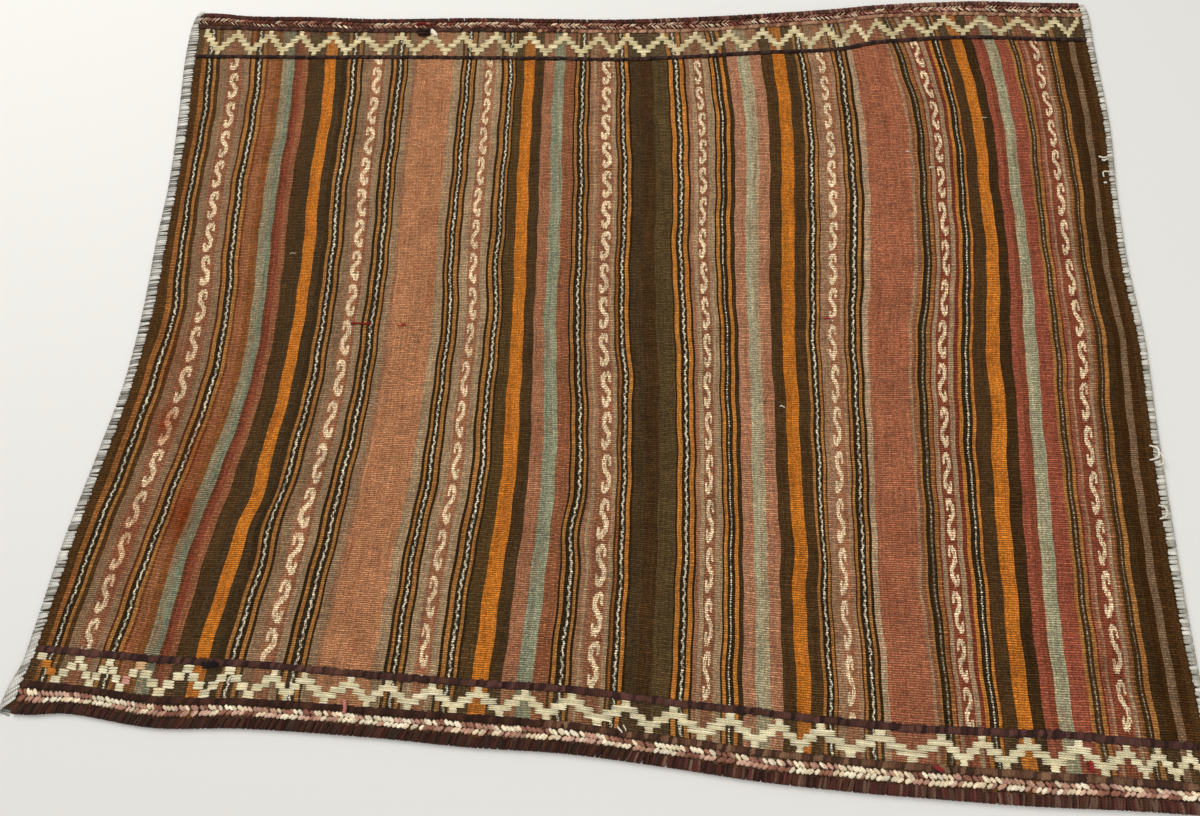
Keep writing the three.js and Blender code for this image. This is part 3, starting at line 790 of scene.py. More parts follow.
    # A stain darkens every yarn that it has soaked, most of all the pale ones.
    stain = add("Attribute", attribute_name="stain").outputs["Fac"]
    uneven = add("MapRange", (speckle, 0.35, 0.6, 0.35, 1.0))
    soaked = add("Math", (stain, uneven), "MULTIPLY")
    tea = {0: soaked, 6: cloth_dye, 7: linear("#C26A2C")}
    cloth_dye = add("Mix", tea, data_type="RGBA", blend_type="MULTIPLY").outputs[2]
    dried = add("Math", (soaked, 0.55), "MULTIPLY")
    rust = linear("#8C3F14")
    cloth_dye = add("Mix", {0: dried, 6: cloth_dye, 7: rust}, data_type="RGBA").outputs[2]

    # A rib stands over each weft. Its crest gets a painted highlight, stronger at some places than
    # at others, and the groove between two ribs gets painted shade.
    rib_turn = add("Math", (picks, 2 * math.pi), "MULTIPLY")
    rib_wave = add("Math", (rib_turn,), "COSINE")
    height = add("MapRange", (rib_wave, 1.0, -1.0, 0.0, 1.0))
    painted_rib_highlight = add("Math", (height, 2.2), "POWER")
    far_across = add("Math", (place.outputs["X"], 0.045), "MULTIPLY")
    crosswise = add("CombineXYZ", (far_across, which_pick))
    rib_light = add("TexNoise", {"Vector": crosswise, "Scale": 1.0, "Detail": 1.0})
    rib_light = add("MapRange", (rib_light, 0.3, 0.7, 0.35, 1.45))
    painted_rib_highlight = add("Math", (painted_rib_highlight, rib_light), "MULTIPLY")
    ribs = add("Math", (painted_rib_highlight, 0.9, 0.55), "MULTIPLY_ADD")
    shade = streaks
    for tone in (speckles, patches, float_tone, ribs):
        shade = add("Math", (shade, tone), "MULTIPLY")
    # The base colour is the dye times the random tones and the painted rib highlight and shade.
    dyed_and_shaded = add("VectorMath", {0: cloth_dye, "Scale": shade}, "SCALE")

    warp_turn = add("Math", (ends, 2 * math.pi), "MULTIPLY")
    warp_wave = add("Math", (warp_turn,), "COSINE")
    relief = add("Math", (warp_wave, 0.6), "MULTIPLY")
    relief = add("Math", (relief, rib_wave), "SUBTRACT")
    bump = add("Bump", {"Height": relief, "Strength": 0.7, "Distance": 0.0003})
    finish_wool(made, shader, dyed_and_shaded, bump, 0.92, 0.05, 0.01)
    return made


cloth.data.materials.clear()
cloth.data.materials.append(striped_wool())
dress(cloth, "striped_wool", "woven_panel")
print("nodes in the cloth's material:", len(cloth.data.materials[0].node_tree.nodes))

# %% [markdown]
# ## One length of yarn
# All of the border is the same thing many times: a short length of thick yarn that crosses
# the cloth. Curves with a round bevel would do, but thousands of them are heavy. So one length
# is modelled as a six-sided rod with rounded ends, by extruding a circle ring by ring, and
# it is then laid along each stitch's own path. A ring's place along the rod is its share of
# the stitch, so one rod serves short and long stitches alike.

# %% Rod of yarn
def yarn_rod(name, shares, sizes, sides=6):
    """A rod along X with one ring at each share of its length, each of its own size."""
    nothing_selected()
    bpy.ops.mesh.primitive_circle_add(
        vertices=sides, radius=1, fill_type="NGON", rotation=(0, math.pi / 2, 0),
    )
    rod = bpy.context.object
    rod.name = name
    bpy.ops.object.transform_apply(location=False, rotation=True, scale=False)
    bpy.ops.object.mode_set(mode="EDIT")
    bpy.ops.mesh.select_all(action="SELECT")
    bpy.ops.transform.resize(value=(1, sizes[0], sizes[0]))
    for before, after, size_before, size in zip(shares, shares[1:], sizes, sizes[1:]):
        bpy.ops.mesh.extrude_region_move(
            TRANSFORM_OT_translate={"value": (after - before, 0, 0)},
        )
        bpy.ops.transform.resize(value=(1, size / size_before, size / size_before))
    bpy.ops.mesh.select_all(action="SELECT")
    bpy.ops.mesh.normals_make_consistent(inside=False)
    bpy.ops.object.mode_set(mode="OBJECT")
    return rod


def read_rod(rod, shares):
    """Points and faces of the rod as arrays, and each face corner's place on its surface."""
    points = np.array([v.co for v in rod.data.vertices])
    ring = np.array([int(np.argmin(np.abs(np.array(shares) - p[0]))) for p in points])
    faces = sorted(list(face.vertices) for face in rod.data.polygons)
    angle = (np.arctan2(points[:, 1], -points[:, 2]) / (2 * math.pi)) % 1.0
    corners = []
    for face in faces:
        around = angle[face]
        if around.max() - around.min() > 0.5 and len(face) == 4:
            around = np.where(around < 0.3, around + 1.0, around)
        corners.extend(zip(np.array(shares)[ring[face]], around))
    bpy.data.objects.remove(rod)
    return {"section": points[:, 1:], "ring": ring, "faces": faces, "corners": np.array(corners)}


LONG_SHARES = (0.0, 0.03, 0.14, 0.27, 0.39, 0.5, 0.61, 0.73, 0.86, 0.97, 1.0)
LONG_SIZES = (0.45, 0.85, 1, 1, 1, 1, 1, 1, 1, 0.85, 0.45)
SHORT_SHARES = (0.0, 0.08, 0.32, 0.68, 0.92, 1.0)
SHORT_SIZES = (0.4, 0.8, 1, 1, 0.8, 0.4)
LONG_ROD = read_rod(yarn_rod("long_rod", LONG_SHARES, LONG_SIZES), LONG_SHARES)
SHORT_ROD = read_rod(yarn_rod("short_rod", SHORT_SHARES, SHORT_SIZES), SHORT_SHARES)
print("faces in one stitch:", len(LONG_ROD["faces"]), "and", len(SHORT_ROD["faces"]))

# %% Laying many stitches as one mesh
def vectors(x, y, z):
    """One vector, or one for every ring where a part has a value for each."""
    return np.stack(np.broadcast_arrays(x, y, z), axis=-1)


def lay_stitches(name, rod, stitches, dyes, finish, slot, *replaced):
    """One mesh with a rod for each stitch. A stitch is the yarn's middle, its half width and its
    half thickness, in millimetres, each as one vector or as one for every ring."""
    section, ring = rod["section"], rod["ring"]
    rings = ring.max() + 1
    path, across, lift = (
        np.array([np.broadcast_to(part, (rings, 3)) for part in parts]) for parts in zip(*stitches)
    )
    points = path[:, ring] + section[:, 0, None] * across[:, ring] + section[:, 1, None] * lift[:, ring]
    count, in_rod = points.shape[:2]
    faces = [[corner + k * in_rod for corner in face] for k in range(count) for face in rod["faces"]]
    made = bpy.data.meshes.new(name)
    made.from_pydata((points.reshape(-1, 3) * MM).tolist(), [], faces)
    length = np.linalg.norm(np.diff(path, axis=1), axis=2).sum(axis=1)
    surface = np.tile(rod["corners"], (count, 1))
    surface[:, 0] *= np.repeat(length, len(rod["corners"])) * MM
    made.uv_layers.new(name="yarn").data.foreach_set("uv", surface.ravel())
    by_ring = dyes if dyes.ndim == 3 else np.repeat(dyes[:, None], rings, axis=1)
    attribute = made.attributes.new("dye", "FLOAT_COLOR", "POINT")
    attribute.data.foreach_set("color", by_ring[:, ring].ravel())
    made.polygons.foreach_set("use_smooth", [True] * len(faces))
    piece = bpy.data.objects.new(name, made)
    bpy.context.scene.collection.objects.link(piece)
    nothing_selected()
    piece.select_set(True)
    bpy.context.view_layer.objects.active = piece
    bpy.ops.object.mode_set(mode="EDIT")
    bpy.ops.mesh.select_all(action="SELECT")
    bpy.ops.mesh.normals_make_consistent(inside=False)
    bpy.ops.object.mode_set(mode="OBJECT")
    print(name, "stitches:", count, "triangles:", sum(len(p.vertices) - 2 for p in made.polygons))
    made.materials.append(finish)
    dress(piece, slot, *replaced)
    return piece


def uneven_dyes(chance, hexes, spread=0.12):
    """Linear colours for a list of hex values, each made a little lighter or darker by chance."""
    colours = np.array([linear(value) for value in hexes])
    colours[:, :3] *= chance.uniform(1 - spread, 1 + spread, (len(colours), 1))
    return colours


# %% [markdown]
# ## Material of the border yarns
# The border is wrapped with thicker, softly twisted yarn. Its twist shows as slanting
# grooves, painted darker as shade, and loose fibres make the surface soft. Each stitch
# brings its own dye as an attribute, so one material serves them all, with the twist drawn
# on the yarn's own map.

# %% Softly twisted wool
PLY_PITCH = 2.6
FUZZ_PER_METRE, PATCHES_PER_METRE = 700.0, 90.0


def twisted_wool(name, roughness, painted_groove_shade):
    """Softly twisted wool: matt, with slanting grooves between its plies. Its fibres are finer
    than the picture shows, so their fuzz is drawn about 1.4 mm coarse."""
    made, add, shader = new_material(name)
    yarn = add("UVMap", uv_map="yarn")
    parts = add("SeparateXYZ", (yarn,))
    turns = add("Math", (parts.outputs["X"], 1000.0 / PLY_PITCH), "MULTIPLY")
    turns = add("Math", (parts.outputs["Y"], 2.0, turns), "MULTIPLY_ADD")
    angle = add("Math", (turns, 2 * math.pi), "MULTIPLY")
    wave = add("Math", (angle,), "COSINE")
    spot = add("TexCoord").outputs["Object"]
    fibres = add("TexNoise", {"Vector": spot, "Scale": FUZZ_PER_METRE, "Detail": 3.0})
    patches = add("TexNoise", {"Vector": spot, "Scale": PATCHES_PER_METRE, "Detail": 2.0})
    # Painted shade in the grooves between the plies, and a slight painted highlight on the plies.
    shade = add("MapRange", (wave, -1.0, 1.0, painted_groove_shade, 1.08))
    fuzz = add("MapRange", (fibres, 0.3, 0.7, 0.82, 1.16))
    uneven = add("MapRange", (patches, 0.3, 0.7, 0.85, 1.15))
    for tone in (fuzz, uneven):
        shade = add("Math", (shade, tone), "MULTIPLY")
    dye = add("Attribute", attribute_name="dye")
    dyed_and_shaded = add("VectorMath", {0: dye, "Scale": shade}, "SCALE")
    relief = add("Math", (fibres, 0.8, wave), "MULTIPLY_ADD")
    bump = add("Bump", {"Height": relief, "Strength": 0.5, "Distance": 0.0002})
    finish_wool(made, shader, dyed_and_shaded, bump, roughness, 0.12, 0.04)
    return made


WRAPPING_WOOL = twisted_wool("softly_twisted_wool", 0.9, 0.72)
PALE_WOOL = twisted_wool("undyed_overcasting_wool", 0.85, 0.72)
print("materials:", [m.name for m in bpy.data.materials if m.users])

# %% [markdown]
# ## Overcast selvedges
# The long edges are bound by sewing over them: the yarn comes up beside the cloth, lies
# across it and goes down round the edge again. Each stitch is a hook that starts below the
# cloth, turns round its edge and ends on top. The left edge has long flat stitches that
# lean a little; the right one short round stitches. Their lengths differ by chance, so the
# inner edge is ragged.

# %% Overcast selvedges
OVERCAST_THICK = 0.75
TURN_IN = 0.9
ON_BORDER = BORDER_LIFT + CLOTH_THICK


def hook(wide, start, top, thick, end_high):
    """The section of a yarn round an edge: how far in and how high each ring of a long rod
    lies, and the two parts of its outward direction."""
    inwards = [start * wide, 0.28 * wide, TURN_IN, TURN_IN, 0.16 * wide + 1.2, 0.55 * wide, wide]
    heights = [thick, thick, 0.32 * top, 0.66 * top, top - thick, top - thick, end_high]
    steps = np.concatenate([[0], np.cumsum(np.hypot(np.diff(inwards), np.diff(heights)))])
    at = np.array(LONG_SHARES) * steps[-1]
    inwards, heights = np.interp(at, steps, inwards), np.interp(at, steps, heights)
    along_in, along_up = np.gradient(inwards), np.gradient(heights)
    size = np.hypot(along_in, along_up)
    return inwards, heights, -along_up / size, along_in / size


def overcast(side, pitch, lean, ragged, top, hexes, seed):
    """Stitches over the left or the right selvedge."""
    chance = np.random.default_rng(seed)
    sign = 1.0 if side == "left" else -1.0
    first, last = SELVEDGES[0, 0] + 1.5, SELVEDGES[-1, 0] - 1.5
    count = int((last - first) / pitch)
    y = np.linspace(first, last, count) + chance.uniform(-0.22, 0.22, count) * pitch
    outer = selvedge(f"{side}_outer", y)
    wide = np.abs(selvedge(f"{side}_inner", y) - outer) + chance.uniform(-ragged, ragged, count)
    leans = lean(y) + chance.normal(0, 0.05, count)
    over = np.array(LONG_SHARES) > 0.5
    thick = OVERCAST_THICK
    stitches = []
    for k in range(count):
        inwards, heights, out, up = hook(wide[k], 0.75, top, thick, ON_BORDER + thick + 0.05)
        slide = leans[k] * inwards * np.where(over, 1.0, -0.35)
        half = pitch * chance.uniform(0.42, 0.6)
        stitches.append((
            vectors(outer[k] + sign * inwards, y[k] + slide, heights),
            vectors(-sign * leans[k] * half * over, half, 0),
            vectors(sign * out * thick, 0, up * thick),
        ))
    dyes = uneven_dyes(chance, chance.choice(hexes, count))
    # Painted shade: each stitch is darker where it turns down round the edge and lighter where it lies on
    # top.
    painted_turn_shade = np.interp(LONG_SHARES, (0.3, 0.5, 0.75, 1.0), (0.6, 0.72, 1.12, 1.05))
    return lay_stitches(
        f"overcast_{side}", LONG_ROD, stitches, dyes[:, None] * painted_turn_shade[:, None],
        PALE_WOOL, "pale_wool", f"selvedge_overcast_{side}",
    )


def lean_left(y):
    """The stitches lean more near the near corner, where the yarn pulls to the tip."""
    return 0.14 + 0.75 * smooth_step(-y, 370, 470)


def lean_right(y):
    return np.full(len(y), -0.1)


# Of the left yarns, the dark grey #8A867C is painted shadow: it stands for the shaded gaps between the
# stitches.
left_binding = overcast("left", 3.3, lean_left, 1.0, 5.6, ["#C6C2B8", "#B6B2A8", "#D0CCC2", "#8A867C"], 11)
right_binding = overcast("right", 4.2, lean_right, 0.7, 5.8, ["#C2BEB2", "#CCC8BC", "#A6A294"], 12)

# %% [markdown]
# ## Wrapped ends
# The cloth's ends are rolled and wrapped closely with dark yarn, which makes them the
# thickest part of the rug. Each turn is a hook like the overcasting, but round and nearly
# upright across the roll, and it turns from aubergine to a lighter brown along the rug.

# %% Wrapped ends
PANEL_WIDE = 1240


def between_selvedges(pitch, distance, chance, jitter):
    """Places across the rug, evenly from one overcasting to the other. Those lean with y, so the
    places are worked out a few times over."""
    count = int(PANEL_WIDE / pitch)
    share = (np.arange(count) + 0.5 + chance.uniform(-jitter, jitter, count)) / count
    x = PANEL_WIDE * (share - 0.5)
    for _ in range(EDGE_ROUNDS - 1):
        y = distance(x)
        left = selvedge("left_inner", y) + LINE_CLEAR
        right = selvedge("right_inner", y) - LINE_CLEAR
        x = left + (right - left) * share
    return x


def wrapped_end(side, top, dark_side, light_side, seed, pitch=2.9):
    chance = np.random.default_rng(seed)
    sign = 1.0 if side == "near" else -1.0
    x = between_selvedges(pitch, lambda at: end_line(side, "edge", at), chance, 0.25)
    wide = ROLL_WIDE[side] + chance.uniform(-1.2, 0.4, len(x))
    lean = 0.34 - 0.24 * smooth_step(x, 0, 400) + 0.1 * np.sin(x / 37) + chance.normal(0, 0.1, len(x))
    stitches = []
    for k in range(len(x)):
        thick = chance.uniform(0.65, 0.95)
        high = top + chance.uniform(-0.7, 0.05)
        start = 0.7 - chance.uniform(0, 0.05)
        inwards, heights, out, up = hook(wide[k], start, high, thick, ON_BORDER + thick)
        place_x = x[k] + lean[k] * (inwards - 0.5 * wide[k])
        stitches.append((
            vectors(place_x, end_line(side, "edge", place_x) + sign * inwards, heights),
            vectors(pitch * chance.uniform(0.5, 0.7), 0, 0),
            vectors(0, sign * out * thick, up * thick),
        ))
    lighter = smooth_step(x + chance.normal(0, 60, len(x)), -50, 350)
    hexes = [chance.choice(light_side if light > chance.uniform() else dark_side) for light in lighter]
    return lay_stitches(
        f"wrapped_{side}", LONG_ROD, stitches, uneven_dyes(chance, hexes, 0.22),
        WRAPPING_WOOL, "dark_wool", f"wrapped_end_{side}",
    )


near_roll = wrapped_end(
    "near", 7.3, ["#3E2118", "#321A12", "#4A2A1E", "#3A2A20"],
    ["#5E4032", "#4C2E22", "#6E5142", "#40261C", "#5A2E28"], 21,
)
far_roll = wrapped_end(
    "far", 6.6, ["#42281E", "#321E17", "#4C2C22", "#5A2A24"],
    ["#7A5442", "#5E3C2F", "#8C6A54", "#4C2E24", "#6A3A30"], 22,
)

# %% [markdown]
# ## Braids
# Two rows of slanting stitches lie side by side and lean opposite ways, so together they
# look like a braid. The weaver changed between rose and cream after every few stitches, and
# these runs give the broken bands of colour.

# %% Braids
SHARES = np.array(SHORT_SHARES)
ARCH = np.sin(math.pi * np.clip(SHARES, 0.02, 0.98))


def runs_of(chance, count, colours, shortest, longest):
    """A list of colours in runs of a few stitches."""
    chosen = []
    last = None
    while len(chosen) < count:
        colour = chance.choice([c for c in colours if c != last])
        chosen += [colour] * int(chance.integers(shortest, longest + 1))
        last = colour
    return chosen[:count]


def arched(x, y, thick, sunk, high):
    """A short yarn's middle, from the cloth up to its full height and down again."""
    height = cloth_top(x, y) + GAP + sunk * thick + ARCH * (high - 1.8 * thick)
    return vectors(x, y, height)


def braid(side, colours, seed, pitch=4.6):
    chance = np.random.default_rng(seed)
    sign = 1.0 if side == "near" else -1.0
    stitches, hexes = [], []

    def row_place(at, share):
        outer = end_line(side, "edge", at) + sign * (ROLL_WIDE[side] + LINE_CLEAR)
        line = end_line(side, "outer", at) - sign * (LINE_WIDE[side] / 2 + LINE_CLEAR)
        return outer + (line - outer) * share

    for row, slant in ((0, sign), (1, -sign)):
        x = between_selvedges(pitch, lambda at: row_place(at, 0.5), chance, 0.35)
        for at in x:
            middle = 0.27 + 0.46 * row + 0.05 * math.sin(at / 21 + row) + chance.normal(0, 0.03)
            reach = chance.uniform(0.15, 0.21)
            place_x = at + slant * (SHARES - 0.5) * pitch * chance.uniform(1.0, 1.4)
            place_y = row_place(place_x, middle + (SHARES - 0.5) * 2 * reach)
            thick = chance.uniform(1.05, 1.3)
            stitches.append((
                arched(place_x, place_y, thick, 0.75, BRAID_HIGH),
                (slant * pitch * 0.24, -chance.uniform(1.5, 1.95), 0),
                (0, 0, thick),
            ))
        hexes += runs_of(chance, len(x), colours, 1, 4)
    return lay_stitches(
        f"braid_{side}_yarn", SHORT_ROD, stitches, uneven_dyes(chance, hexes, 0.2),
        WRAPPING_WOOL, "rose_cream_wool", f"braid_{side}",
    )


near_braid = braid("near", [
    "#B48A74", "#F4E6C8", "#9C6A56", "#F0DEBA", "#D2AA94", "#E8D2AE", "#8A5A48", "#F2E2C2", "#C0937C",
], 31)
far_braid = braid("far", [
    "#C08C74", "#F4DEBC", "#9C6450", "#EACCA8", "#D2A28A", "#945040", "#EED4B0", "#7A4C3A",
], 32)

# %% [markdown]
# ## Twined lines
# A dark line borders the zigzag on each side. It is a pair of wefts twisted round each other
# once for every few warps, which looks like a row of short leaning stitches.

# %% Twined lines
LINE_YARNS = {
    "dark": ["#402620", "#4C3026", "#301C18", "#56362E"],
    "nearly black": ["#2A1812", "#38221A", "#20120E", "#402A20"],
    "umber": ["#42281E", "#301C16", "#543428"],
    "rose": ["#A07658", "#8A5A44", "#AC8468", "#744E38"],
    "coffee": ["#2E1A12", "#382016", "#44281C"],
    "brown": ["#563828", "#6A4A36", "#402A1E", "#7A5A42"],
}


def twined_line(side, which, yarn_at, seed, pitch=4.2):
    chance = np.random.default_rng(seed)
    x = between_selvedges(pitch, lambda at: end_line(side, which, at), chance, 0.25)
    stitches = []
    for at in x:
        thick = chance.uniform(0.66, 0.82)
        width = LINE_WIDE[side] * chance.uniform(0.8, 1.05)
        place_x = at + (SHARES - 0.5) * pitch * 2.0
        place_y = end_line(side, which, place_x) + (SHARES - 0.5) * 0.45 * width + chance.normal(0, 0.3)
        stitches.append((
            arched(place_x, place_y, thick, 0.7, LINE_HIGH), (-0.3 * pitch, 0.56 * width, 0), (0, 0, thick),
        ))
    hexes = [chance.choice(LINE_YARNS[yarn_at(chance, at)]) for at in x]
    return lay_stitches(
        f"line_{which}_{side}", SHORT_ROD, stitches, uneven_dyes(chance, hexes, 0.2),
        WRAPPING_WOOL, "dark_wool", f"twined_line_{which}_{side}",
    )


twined_lines = [
    twined_line("near", "outer", lambda chance, x: "coffee" if x < chance.normal(0, 40) else "brown", 41),
    twined_line("near", "inner", lambda *_: "dark", 42),
    twined_line("far", "outer", lambda chance, x: "umber" if x < -85 + chance.normal(0, 25) else "rose", 43),
    twined_line("far", "inner", lambda *_: "nearly black", 44),
]

# %% [markdown]
# ## Zigzags
# Between the two lines a cream weft is wrapped in steps that climb and fall, over the
# stripes that run on below. At each level it covers two steps' width with a few yarns side by
# side, and only the tips are one step wide. The tops are not evenly spaced, so they are
# listed, and the steps between two tops are worked out.

# %% Zigzags
ZIGZAG_COLUMNS = ("tops of the zigzag", "steps", "distance along the rug", "yarns")
ZIGZAGS = {
    "near": ((
        -598, -552, -516, -480, -423, -375, -323, -290, -236, -195, -146, -96, -45, 4, 63, 112,
        171, 221, 261, 321, 382, 420, 464, 512, 558, 586, 615,
    ), 3, -441, ["#E6DAB2", "#DCD0A8", "#EEE2BE", "#E2D2A8", "#D6CAA4"]),
    "far": ((
        -611, -562, -511, -464, -414, -369, -312, -267, -222, -174, -125, -75, -25, 13, 62, 108,
        154, 200, 243, 285, 325, 353, 396, 443, 490, 539, 587, 615,
    ), 4, 436, ["#DCCC9C", "#D2C092", "#E6D6AC", "#CCB98C"]),
}
PATCH_COLUMNS = ("from x", "to x", "yarn")
PATCHES = {"near": [(-596, -576, "#C87A2C"), (-494, -486, "#C58E7C"), (-482, -474, "#D8B080")], "far": []}
YARNS_IN_LEVEL = 3
BLOCK_STEPS = 3
STEP_UPRIGHT = 2
BLOCKS_UNTIL, BLOCK_OVER = -335, 1.7
ZIGZAG_CLEAR = 3


def zigzag_steps(peaks, steps, left, right):
    """Where each step starts and ends across the rug, and its lowest level."""
    per_repeat = 2 * steps
    found = []
    first_wide = (peaks[1] - peaks[0]) / per_repeat
    for k in range(steps, 0, -1):
        found.append((peaks[0] - (k + 0.5) * first_wide, peaks[0] - (k - 0.5) * first_wide, steps - k))
    start = peaks[0] - first_wide / 2
    for i, peak in enumerate(peaks):
        following = peaks[i + 1] if i + 1 < len(peaks) else 2 * peak - peaks[i - 1]
        wide = (following - peak) / per_repeat
        for j in range(per_repeat):
            stop = peak + (j + 0.5) * wide
            found.append((start, stop, abs(steps - j)))
            start = stop
    return [step for step in found if step[1] - step[0] > 1 and step[0] >= left and step[1] <= right]


def level_runs(found, levels):
    """The stretches covered at each level, joined where steps meet, and the level's two shares."""
    runs = []
    for level in range(levels):
        shares = (level / levels, (level + 1) / levels)
        for start, stop in [(a, b) for a, b, low in found if low <= level < low + STEP_UPRIGHT]:
            if runs and runs[-1][2:] == shares and abs(runs[-1][1] - start) < 0.5:
                start = runs.pop()[0]
            runs.append((start, stop) + shares)
    return runs


def block_runs(found):
    """The same for a zigzag of single blocks, each one level high and a little wider than its step."""
    tall = 1 / (BLOCK_STEPS + 1)
    return [(a - BLOCK_OVER, b + BLOCK_OVER, low * tall, (low + 1) * tall) for a, b, low in found]


def zigzag(side, seed):
    chance = np.random.default_rng(seed)
    peaks, steps, middle, yarns = ZIGZAGS[side]
    left = float(selvedge("left_inner", middle)) + ZIGZAG_CLEAR
    right = float(selvedge("right_inner", middle)) - ZIGZAG_CLEAR
    line_edge = LINE_WIDE[side] / 2 + LINE_CLEAR
    blocks_end = BLOCKS_UNTIL if side == "near" else left
    runs = block_runs(zigzag_steps(peaks, BLOCK_STEPS, left, blocks_end))
    runs += level_runs(zigzag_steps(peaks, steps, blocks_end - 1, right), steps + STEP_UPRIGHT)
    stitches, hexes = [], []
    for start, stop, bottom, top in runs:
        skew = chance.normal(0, 0.5)
        patches = [dye for low, high, dye in PATCHES[side] if low < (start + stop) / 2 < high]
        for yarn in range(YARNS_IN_LEVEL):
            thick = chance.uniform(0.42, 0.52)
            share = bottom + (top - bottom) * (yarn + 0.5) / YARNS_IN_LEVEL
            begin = start - 0.3 + chance.uniform(-0.6, 0.5)
            end = stop + 0.3 + chance.uniform(-0.5, 0.6)
            place_x = begin + (end - begin) * SHARES
            outer, inner = end_line(side, "outer", place_x), end_line(side, "inner", place_x)
            low, high = np.minimum(outer, inner) + line_edge, np.maximum(outer, inner) - line_edge
            place_y = low + (high - low) * share + skew * (SHARES - 0.5) + chance.normal(0, 0.12)
            pitch = np.mean(high - low) * (top - bottom) / YARNS_IN_LEVEL
            stitches.append((
                vectors(place_x, place_y, cloth_top(place_x, place_y) + GAP + thick),
                (0, pitch * chance.uniform(0.5, 0.58), 0),
                (0, 0, thick),
            ))
            hexes.append(patches[0] if patches else chance.choice(yarns))
    return lay_stitches(
        f"zigzag_{side}_yarn", SHORT_ROD, stitches, uneven_dyes(chance, hexes),
        WRAPPING_WOOL, "cream_wool", f"zigzag_{side}",
    )


near_zigzag = zigzag("near", 51)
far_zigzag = zigzag("far", 52)

# %% [markdown]
# ## Loose ends, knots and mended places
# Years of use leave small things: loops pulled out of the right edge, knots where a yarn ran
# out, a darned line and a few caught fibres. They could be drawn in the material, but a loop
# stands up and throws a shadow, so each is a short yarn of its own, bent through a few
# points, and all of them are one piece.

# %% Loose ends and knots
LOOSE_COLUMNS = ("points x, y, height above the cloth", "half thickness", "dye")
LOOSE_ENDS = [
    ([(627, 250, 1.4), (623, 248, 2.6), (619, 247, 2.8), (615, 250, 1.4)], 1.1, "#E6DCC8"),
    ([(627, 246, 1.4), (623, 245, 2.4), (620, 243, 2.6), (618, 245, 1.6)], 1.2, "#DDD0BE"),
    ([(618, 220, 0.8), (617, 226, 2.4), (621, 227, 2.8), (628, 226, 1.4)], 0.9, "#E2D8C4"),
    ([(617, 211, 0.8), (618, 212, 1.2), (619, 212, 1.2), (620, 211, 0.8)], 1.1, "#E6DCC8"),
    ([(622, -126, 0.9), (629, -130, 3.2), (628, -140, 3.4), (620, -143, 0.9)], 1.1, "#EEE6D4"),
    ([(625, -133, 0.9), (632, -136, 2.6), (633, -146, 2.2), (627, -149, 0.9)], 1.0, "#E6DECC"),
    ([(622, -193, 0.9), (628, -196, 3.0), (627, -205, 3.0), (621, -208, 0.9)], 1.1, "#EAE2D0"),
    ([(-284, -7.5, 0.5), (-294, -8.2, 0.7), (-303, -7.6, 0.7), (-311, -8.4, 0.5)], 1.2, "#861C16"),
    ([(-250, -8, 0.5), (-246, -9.5, 0.8), (-243, -7, 0.8), (-239, -8.5, 0.5)], 1.0, "#A83A2C"),
    ([(274, 17, 0.5), (279, 18.4, 0.8), (283, 17.4, 0.8), (287, 18.6, 0.5)], 1.0, "#A83A34"),
    ([(-270, 453, 1.6), (-267, 451.5, 3.2), (-264, 448.5, 3.0), (-260, 444, 1.2)], 2.3, "#EDE3D0"),
    ([(-270, 450, 1.6), (-267.5, 449, 2.6), (-265, 446.5, 2.4), (-263, 444, 1.0)], 1.9, "#E6DBC6"),
    ([(-291, 450, 1.8), (-284, 451, 3.4), (-277, 450, 3.2), (-270, 453, 1.8)], 3.2, "#24130E"),
    ([(-288, 447, 1.4), (-282, 446.5, 2.8), (-277, 446, 2.6), (-272, 448, 1.4)], 2.6, "#2C1712"),
    ([(-294, 463, 1.6), (-288, 465.5, 2.4), (-282, 465, 2.4), (-276, 462, 1.6)], 2.2, "#70221A"),
    ([(-408, -424, 1.4), (-402, -427, 3.0), (-396, -426, 3.0), (-391, -428, 1.4)], 2.4, "#1C1112"),
    ([(-406, -430, 1.4), (-400, -424, 2.8), (-394, -423, 2.6), (-389, -425, 1.2)], 2.0, "#241517"),
    ([(-240, -450, 1.4), (-238, -455, 3.0), (-237, -460, 3.0), (-239, -465, 1.6)], 2.2, "#B87468"),
    ([(371, -469, 1.4), (374, -471, 2.6), (377, -472, 2.6), (380, -474, 1.4)], 2.2, "#8E2E30"),
    ([(520, -454, 0.8), (521, -456, 1.6), (521, -460, 1.6), (522, -463, 0.8)], 2.4, "#8E2A26"),
    ([(55, -456, 0.6), (57, -458.5, 1.6), (59, -460, 1.4), (60, -462, 0.6)], 0.9, "#E4DCCB"),
    ([(61, -454, 0.6), (62, -456, 1.4), (63.5, -458, 1.2), (64, -460, 0.6)], 0.8, "#DDD3BE"),
    ([(222, -97, 0.5), (224, -96, 0.9), (226, -97, 0.9), (228, -98, 0.5)], 0.7, "#E8DFC8"),
    ([(410, 231, 0.5), (411, 233, 0.9), (413, 233, 0.9), (415, 232, 0.5)], 0.7, "#EDE3CC"),
    ([(382, 256, 0.5), (384, 257, 0.8), (385, 256, 0.8), (387, 256, 0.5)], 0.55, "#E6DCC4"),
    ([(480, 308, 0.5), (482, 310, 0.8), (484, 309, 0.8), (487, 310, 0.5)], 0.5, "#CFC6AC"),
    ([(-410, 88, 0.5), (-407, 90, 0.8), (-405, 89, 0.8), (-402, 90, 0.5)], 0.5, "#C9BEA2"),
]


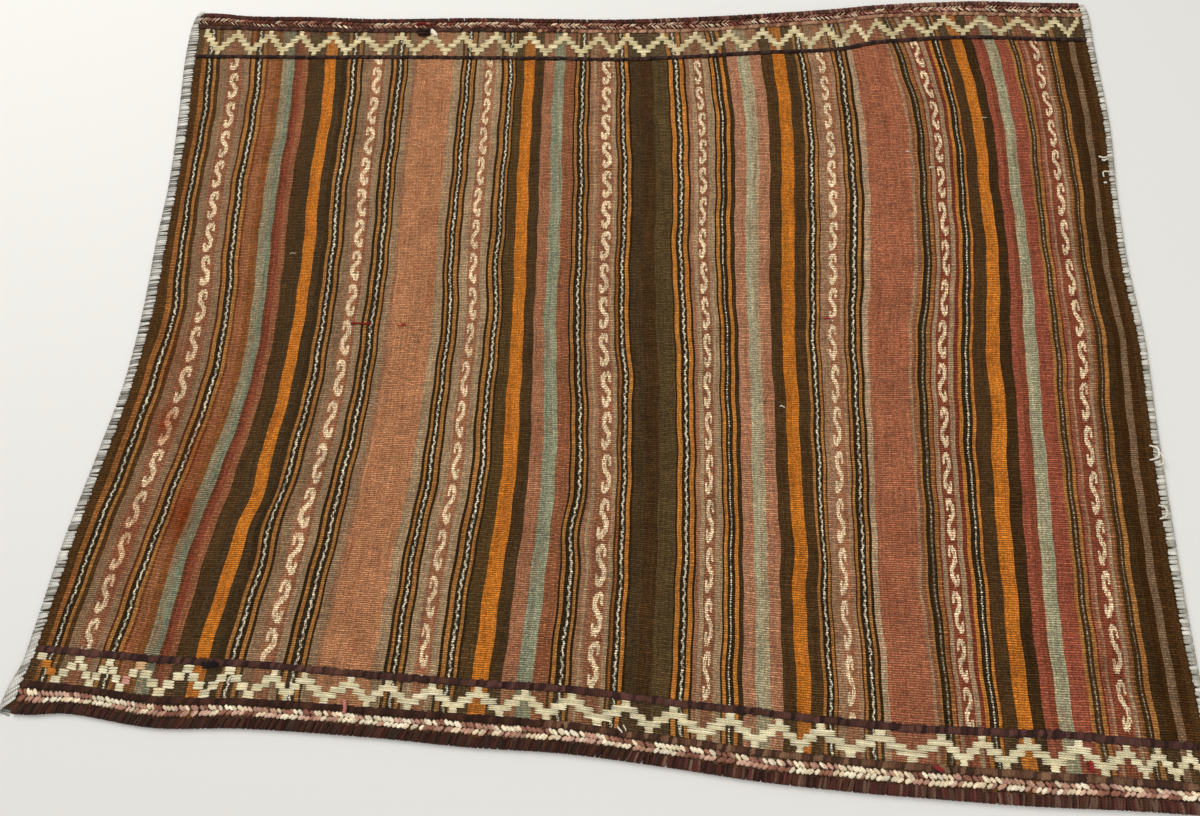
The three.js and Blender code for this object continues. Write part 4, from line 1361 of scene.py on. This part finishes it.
def loose_ends():
    stitches = []
    knots = np.linspace(0, 1, 4)
    for points, thick, _ in LOOSE_ENDS:
        x, y, above = (smooth_curve(knots, values, LONG_SHARES) for values in zip(*points))
        path = vectors(x, y, cloth_top(x, y) + above + thick * 0.4)
        along = np.gradient(path, axis=0)
        along /= np.linalg.norm(along, axis=1)[:, None]
        side = np.cross(along, (0, 0, 1))
        side /= np.linalg.norm(side, axis=1)[:, None]
        stitches.append((path, side * thick, np.cross(side, along) * thick))
    dyes = np.array([linear(dye) for _, _, dye in LOOSE_ENDS])
    return lay_stitches("loose_yarn_ends", LONG_ROD, stitches, dyes, WRAPPING_WOOL, "pale_wool")


loose_yarn = loose_ends()

# %% [markdown]
# ## Floor and light
# A plain pale floor and broad soft lights, as in a studio, show the wool's own colours. The
# Standard view keeps dark wool dark, where the default one would wash it out a little.

# %% Floor, lights and view
nothing_selected()
bpy.ops.mesh.primitive_plane_add(size=12)
floor = bpy.context.object
floor.name = "studio_floor"
# Matt paint, rough enough to show no reflection of the rug.
floor_paint, _, floor_shader = new_material("matt_pale_floor")
floor_shader.inputs["Base Color"].default_value = linear("#DDDBD6")
floor_shader.inputs["Roughness"].default_value = 0.8
floor.data.materials.append(floor_paint)

LIGHT_COLUMNS = ("name", "place", "size", "power")
LIGHTS = [
    ("key", (-1.4, 1.3, 2.4), 1.8, 64.0),
    ("fill", (1.8, -1.2, 2.4), 2.2, 34.0),
]
for name, place, size, power in LIGHTS:
    bpy.ops.object.light_add(type="AREA", location=place)
    lamp = bpy.context.object
    lamp.name = f"{name}_light"
    lamp.data.size = size
    lamp.data.energy = power
    lamp.rotation_euler = Vector(place).to_track_quat("Z", "Y").to_euler()

world = bpy.data.worlds.new("studio_room")
bpy.context.scene.world = world
world.use_nodes = True
world.node_tree.nodes["Background"].inputs["Color"].default_value = (1.0, 0.99, 0.97, 1.0)
world.node_tree.nodes["Background"].inputs["Strength"].default_value = 0.45
bpy.context.scene.view_settings.view_transform = "Standard"

sewn_on = [left_binding, right_binding, near_roll, far_roll, near_braid, far_braid]
sewn_on += twined_lines + [near_zigzag, far_zigzag, loose_yarn]
